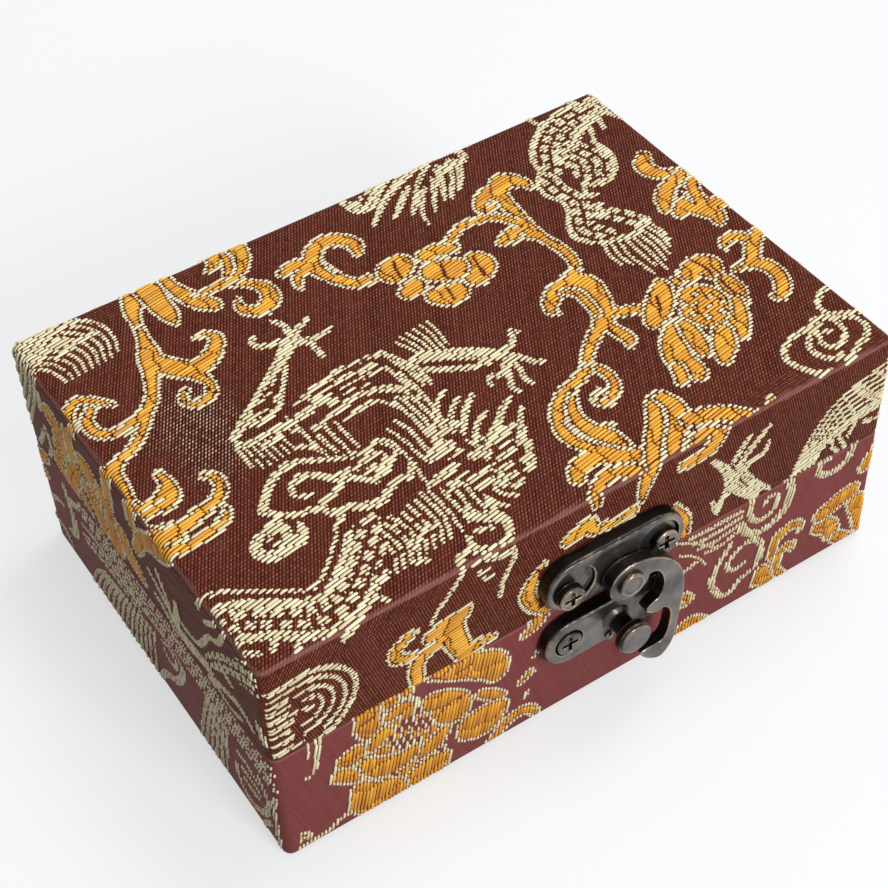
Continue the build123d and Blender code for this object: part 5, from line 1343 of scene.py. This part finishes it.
# The sheet under the floor is thick dark paper, pasted over the raw edges of the brocade. The box
# rests on it, so it is scuffed pale along its edges.
paper, tree = finish_named("backing_paper")
where = add(tree, "ShaderNodeTexCoord").outputs["Object"]
fibres = noise(tree, where, 1600, 5, 0.7)
scuffs = noise(tree, where, 120, 6, 0.75)
scuffed = ranged(tree, scuffs, (0.56, 0.75))
shade = mixed(tree, fibres, (0.05, 0.012, 0.012, 1), (0.11, 0.03, 0.027, 1))
shade = mixed(tree, scuffed, shade, (0.3, 0.17, 0.15, 1))
bump = bumped(tree, fibres, 0.3, 0.00005)
shaded(tree, {"Base Color": shade, "Roughness": 0.85, "Specular IOR Level": 0.2, "Normal": bump})
dress(paper, "base_underside_sheet")


def soft_block(low, high, bend, step):
    """A closed block between two corners in mm, its edges rounded, its faces cut fine enough to shape."""
    low, high = np.array(low, float), np.array(high, float)
    half, centre = (high - low) / 2, (high + low) / 2
    bend = min(bend, *half * 0.98)
    mesh = bmesh.new()
    for axis in range(3):
        across = [k for k in range(3) if k != axis]
        cuts = [np.unique(np.concatenate([
            np.linspace(-half[k], -half[k] + bend, 4),
            np.linspace(-half[k] + bend, half[k] - bend, max(2, int(2 * (half[k] - bend) / step) + 1)),
            np.linspace(half[k] - bend, half[k], 4)]).round(6)) for k in across]
        for end in (-1, 1):
            grid = {}
            for i, a in enumerate(cuts[0]):
                for j, b in enumerate(cuts[1]):
                    p = np.zeros(3)
                    p[axis], p[across[0]], p[across[1]] = end * half[axis], a, b
                    inner = np.clip(p, -(half - bend), half - bend)
                    away = p - inner
                    away = away / max(np.linalg.norm(away), 1e-9) * bend
                    grid[i, j] = mesh.verts.new(centre + inner + away)
            for i in range(len(cuts[0]) - 1):
                for j in range(len(cuts[1]) - 1):
                    mesh.faces.new([grid[i, j], grid[i + 1, j], grid[i + 1, j + 1], grid[i, j + 1]])
    bmesh.ops.remove_doubles(mesh, verts=mesh.verts, dist=0.004)
    bmesh.ops.recalc_face_normals(mesh, faces=mesh.faces)
    return mesh


def settled(name, shaped, body, material):
    """A piece from a bmesh in mm, smooth, riding on its body."""
    bmesh.ops.scale(shaped, vec=(MM, MM, MM), verts=shaped.verts)
    mesh = bpy.data.meshes.new(name)
    shaped.to_mesh(mesh)
    shaped.free()
    mesh.polygons.foreach_set("use_smooth", [True] * len(mesh.polygons))
    mesh.materials.append(material)
    piece = in_scene(name, mesh)
    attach(piece, body)
    return piece


# The pads are polyester wadding in pale gold satin, pushed in over the pasted linings. The satin is
# drawn tight round the wadding, so it crowns in the middle and tucks in along its edges.
satin, tree = finish_named("pale_gold_satin")
where = add(tree, "ShaderNodeTexCoord").outputs["Object"]
long_ends = add(tree, "ShaderNodeMapping", {"Vector": where, "Scale": (300, 5200, 5200)})
thread = noise(tree, long_ends.outputs[0], 1.0, 3, 0.6)
slub = noise(tree, where, 90, 4, 0.6)
tone = maths(tree, "MULTIPLY_ADD", slub, 0.3, thread)
tone = ranged(tree, tone, (0.3, 1.0))
shade = mixed(tree, tone, (0.62, 0.43, 0.18, 1), (0.83, 0.66, 0.36, 1))
bump = bumped(tree, thread, 0.35, 0.00005)
shaded(tree, {
    "Base Color": shade, "Roughness": 0.36, "Specular IOR Level": 0.5, "Anisotropic": 0.5,
    "Sheen Weight": 0.3, "Sheen Roughness": 0.3, "Normal": bump})

sim_scale, pad_inset, pad_frames, most_fill = 10, 0.7, 20, 1.15
pad_gap, pad_crown, pad_tuck, pad_ruck, pad_clear = 0.05, 0.45, 0.25, 0.12, 0.02
for name, node, body, resting in (
    ("base_satin_pad", "base_floor_pad", "base", -1), ("lid_satin_pad", "lid_pad", "lid", 1),
):
    low, high = (np.array(corner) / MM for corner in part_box(node))
    shaped = soft_block(low + pad_inset, high - pad_inset, 1.2, 2.2)
    bmesh.ops.scale(shaped, vec=(sim_scale * MM,) * 3, verts=shaped.verts)
    mesh = bpy.data.meshes.new(name)
    shaped.to_mesh(mesh)
    shaped.free()
    start = np.array([v.co for v in mesh.vertices])
    puffed = in_scene(name, mesh)
    cloth_sim = puffed.modifiers.new("filled", "CLOTH")
    cloth_sim.settings.quality = 6
    cloth_sim.settings.use_pressure = True
    cloth_sim.settings.uniform_pressure_force = 4
    cloth_sim.settings.effector_weights.gravity = 0
    cloth_sim.settings.tension_stiffness = 25
    cloth_sim.settings.bending_stiffness = 0.4
    cloth_sim.point_cache.frame_start, cloth_sim.point_cache.frame_end = 1, pad_frames
    for moment in range(1, pad_frames + 1):
        bpy.context.scene.frame_set(moment)
    seen = puffed.evaluated_get(bpy.context.evaluated_depsgraph_get())
    moved = np.array([v.co for v in seen.data.vertices]) - start
    bpy.context.scene.frame_set(1)
    bpy.data.objects.remove(puffed)
    far = np.linalg.norm(moved, axis=1)
    moved *= np.minimum(1, most_fill * sim_scale * MM / np.maximum(far, 1e-9))[:, None]
    shaped = bmesh.new()
    shaped.from_mesh(mesh)
    for vert, shift in zip(shaped.verts, moved):
        vert.co += Vector(shift)
    bmesh.ops.scale(shaped, vec=(1 / (sim_scale * MM),) * 3, verts=shaped.verts)
    middle, half = (low + high) / 2, (high - low) / 2
    reached = np.abs(np.array([vert.co for vert in shaped.verts]) - middle).max(0)
    stretch = [(half[0] - pad_gap) / reached[0], (half[1] - pad_gap) / reached[1], 1]
    for vert in shaped.verts:
        vert.co = Vector((np.array(vert.co) - middle) * stretch + middle)
    for vert in shaped.verts:
        p = np.array(vert.co)
        reach = (p - middle) / half
        crown = (1 - abs(reach[0]) ** 6) * (1 - abs(reach[1]) ** 6)
        ruck = pad_ruck * math.sin(0.5 * p[0] + 1.7 * math.sin(0.13 * p[1])) * abs(reach[1]) ** 8
        ruck += pad_ruck * math.sin(0.55 * p[1] + 1.5 * math.sin(0.17 * p[0])) * abs(reach[0]) ** 8
        if reach[2] * resting < 0:
            vert.co.z += -resting * (pad_crown * crown - pad_tuck + ruck)
        vert.co.x = min(max(vert.co.x, low[0]), high[0])
        vert.co.y = min(max(vert.co.y, low[1]), high[1])
        vert.co.z = min(max(vert.co.z, low[2] + pad_clear), high[2] - pad_clear)
    pad = settled(name, shaped, body, satin)
    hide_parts(node)

# The walls are lined with card strips wrapped in the same satin over a thin wadding, pasted in
# before the pad. The satin rucks a little where it was folded round each strip's ends.
lining_gap, lining_tuck, lining_set, lining_ruck = 0.05, 0.32, 0.1, 0.09
for body in ("base", "lid"):
    for side, thin, inner in (("front", 1, 1), ("back", 1, -1), ("left", 0, 1), ("right", 0, -1)):
        node = body + "_" + side + "_lining"
        low, high = (np.array(corner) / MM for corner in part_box(node))
        shaped = soft_block(low + lining_gap, high - lining_gap, 0.6, 1.6)
        wide = 1 - thin
        middle, half = (low + high) / 2, (high - low) / 2
        for vert in shaped.verts:
            p = np.array(vert.co)
            reach = (p - middle) / half
            if reach[thin] * inner > 0:
                edge = max(abs(reach[2]) ** 4, abs(reach[wide]) ** 40)
                wave = math.sin(0.9 * p[wide] + 1.1 * math.sin(0.23 * p[wide] + 0.4 * p[2]))
                ruck = lining_ruck * wave * (0.3 + 0.7 * edge)
                vert.co[thin] -= inner * (lining_tuck * edge + lining_set + ruck)
        lining = settled(body + "_" + side + "_satin", shaped, body, satin)
        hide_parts(node)


# The clasp is cast in zinc, plated and blackened, then rubbed back, so that its edges show copper
# and its faces a cloudy grey; where its faces turn up, down or sideways they get painted shade,
# near black. Screws, stud, rivet and nail have the same finish.
worn, given = node_group(
    "rubbed_edges", "ShaderNodeTree",
    {"Place": "Vector", "Way": "Vector", "Edge": "Float", "Hollow": "Float", "Wear": "Float"},
    {"Color": "Color", "Roughness": "Float", "Height": "Float"})
cloud = noise(worn, given["Place"], 240, 4, 0.5)
grit = noise(worn, given["Place"], 3200, 4, 0.7)
dark = ranged(worn, cloud, (0.3, 0.7))
# Painted shade: where the way out turns up, down or sideways rather than to the front or back, the metal is
# painted near black.
turned = add(worn, "ShaderNodeSeparateXYZ", {0: given["Way"]})
turned = maths(worn, "ABSOLUTE", turned.outputs["Y"])
out_of_painted_shade = ranged(worn, turned, (0.55, 0.95))
faces = mixed(worn, dark, (0.075, 0.072, 0.068, 1), (0.21, 0.198, 0.185, 1))
grey = mixed(worn, out_of_painted_shade, (0.022, 0.019, 0.018, 1), faces)
broken = maths(worn, "MULTIPLY_ADD", cloud, 2.2, given["Edge"])
broken = maths(worn, "MULTIPLY_ADD", grit, 0.6, broken)
rubbed = ranged(worn, broken, (1.85, 2.5))
rubbed = maths(worn, "MULTIPLY", rubbed, given["Wear"], clamp=True)
metal = mixed(worn, rubbed, grey, (0.44, 0.31, 0.21, 1))
metal = mixed(worn, given["Hollow"], metal, (0.012, 0.010, 0.010, 1))
rough = ranged(worn, dark, after=(0.34, 0.25))
rough = maths(worn, "MULTIPLY_ADD", rubbed, -0.1, rough)
add(worn, "NodeGroupOutput", {"Color": metal, "Roughness": rough, "Height": grit})


def blackened(name, wear, metallic):
    """Blackened metal, rubbed where the piece's own edge attribute says."""
    material, tree = finish_named(name)
    where = add(tree, "ShaderNodeTexCoord").outputs
    group = add(tree, "ShaderNodeGroup", {
        "Place": where["Object"], "Way": where["Normal"], "Edge": attribute(tree, "edge"),
        "Hollow": attribute(tree, "hollow"), "Wear": wear}, node_tree=worn).outputs
    bump = bumped(tree, group["Height"], 0.25, 0.00004)
    shaded(tree, {
        "Base Color": group["Color"], "Roughness": group["Roughness"],
        "Metallic": metallic, "Specular IOR Level": 0.5, "Normal": bump})
    return material


bronze = blackened("antique_bronze", 0.75, 0.85)
screw_bronze = blackened("antique_bronze_screws", 0.9, 0.85)


convex, concave, pit_depth = 0.07, 0.09, 0.018


def cast(name, node, body, material, voxel, smoothing):
    """A node's own shape with a casting's soft edges, and how convex and how hollow each place is."""
    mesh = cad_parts[node].data.copy()
    mesh.transform(Matrix.Scale(1 / MM, 4))
    merged = bmesh.new()
    merged.from_mesh(mesh)
    bmesh.ops.remove_doubles(merged, verts=merged.verts, dist=0.002)
    merged.to_mesh(mesh)
    merged.free()
    source = in_scene(name, mesh)
    remesh = source.modifiers.new("skin", "REMESH")
    remesh.mode = "VOXEL"
    remesh.voxel_size = voxel
    soften = source.modifiers.new("soften", "SMOOTH")
    soften.factor, soften.iterations = 0.5, smoothing
    seen = source.evaluated_get(bpy.context.evaluated_depsgraph_get())
    result = bpy.data.meshes.new_from_object(seen)
    bpy.data.objects.remove(source)
    count = len(result.vertices)
    places, ways = np.zeros(count * 3), np.zeros(count * 3)
    result.vertices.foreach_get("co", places)
    result.vertex_normals.foreach_get("vector", ways)
    places, ways = places.reshape(-1, 3), ways.reshape(-1, 3)
    pairs = np.zeros(len(result.edges) * 2, int)
    result.edges.foreach_get("vertices", pairs)
    pairs = pairs.reshape(-1, 2)
    both = np.concatenate([pairs, pairs[:, ::-1]])
    degree = np.maximum(np.bincount(both[:, 0], minlength=count), 1)

    def spread(values):
        return np.bincount(both[:, 0], weights=values[both[:, 1]], minlength=count) / degree

    middle = np.stack([spread(places[:, k]) for k in range(3)], 1)
    bulge = ((places - middle) * ways).sum(1) / voxel
    for _ in range(3):
        bulge = 0.5 * bulge + 0.5 * spread(bulge)
    edge = np.clip(bulge / convex, 0, 1)
    hollow = np.clip(-bulge / concave - 0.15, 0, 1)
    x, z = places[:, 0], places[:, 2]
    pitted = np.sin(x * 2.1 + 1) * np.sin(z * 1.7) + 0.6 * np.sin(x * 4.3) * np.sin(z * 3.9 + 2)
    places = places + ways * (pit_depth * pitted)[:, None]
    result.vertices.foreach_set("co", (places * MM).ravel())
    result.attributes.new("edge", "FLOAT", "POINT").data.foreach_set("value", edge)
    result.attributes.new("hollow", "FLOAT", "POINT").data.foreach_set("value", hollow)
    result.polygons.foreach_set("use_smooth", [True] * len(result.polygons))
    result.materials.clear()
    result.materials.append(material)
    result.update()
    piece = in_scene(name, result)
    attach(piece, body)
    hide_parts(node)
    return piece


for name, node, body, material, voxel, smoothing in (
    ("upper_plate", "clasp_upper_plate", "lid", bronze, 0.13, 5),
    ("lower_plate", "clasp_lower_plate", "base", bronze, 0.13, 5),
    ("hook_arm", "clasp_hook_arm", "hook_arm", bronze, 0.11, 4),
    ("stud", "clasp_stud", "base", bronze, 0.1, 12),
    ("pivot_rivet", "clasp_pivot_rivet", "lid", bronze, 0.1, 6),
    ("anchor_nail", "clasp_anchor_nail", "base", bronze, 0.08, 2),
    ("upper_screws", "clasp_upper_screws", "lid", screw_bronze, 0.09, 2),
    ("lower_screws", "clasp_lower_screws", "base", screw_bronze, 0.09, 2),
):
    cast(name, node, body, material, voxel, smoothing)

# The two butt hinges behind are pressed from sheet and blackened like the clasp. Their leaves are
# curled round a plain steel pin, and each is held by two small screws.
# The hinges take the same painted shade, near black where their faces turn up, down or sideways.
hinge_finish = blackened("hinge_bronze", 0.8, 0.85)
for name, node, body in (
    ("left_hinge_upper_leaf", "left_hinge_lid_leaf", "lid"),
    ("right_hinge_upper_leaf", "right_hinge_lid_leaf", "lid"),
    ("left_hinge_lower_leaf", "left_hinge_base_leaf", "base"),
    ("right_hinge_lower_leaf", "right_hinge_base_leaf", "base"),
    ("hinge_upper_screws", "hinge_lid_screws", "lid"),
    ("hinge_lower_screws", "hinge_base_screws", "base"),
):
    cast(name, node, body, hinge_finish, 0.14, 1)

# The hinge pins are drawn steel wire, blackened, brushed round by the turning knuckles
pin_steel, tree = finish_named("pin_steel")
where = add(tree, "ShaderNodeTexCoord").outputs["Object"]
rings = add(tree, "ShaderNodeMapping", {"Vector": where, "Scale": (9000, 300, 300)})
drawn_lines = noise(tree, rings.outputs[0], 1.0, 4)
tone = mixed(tree, drawn_lines, (0.05, 0.048, 0.045, 1), (0.22, 0.21, 0.2, 1))
rough = ranged(tree, drawn_lines, after=(0.28, 0.5))
shaded(tree, {"Base Color": tone, "Roughness": rough, "Metallic": 1.0})
dress(pin_steel, "left_hinge_pin", "right_hinge_pin")
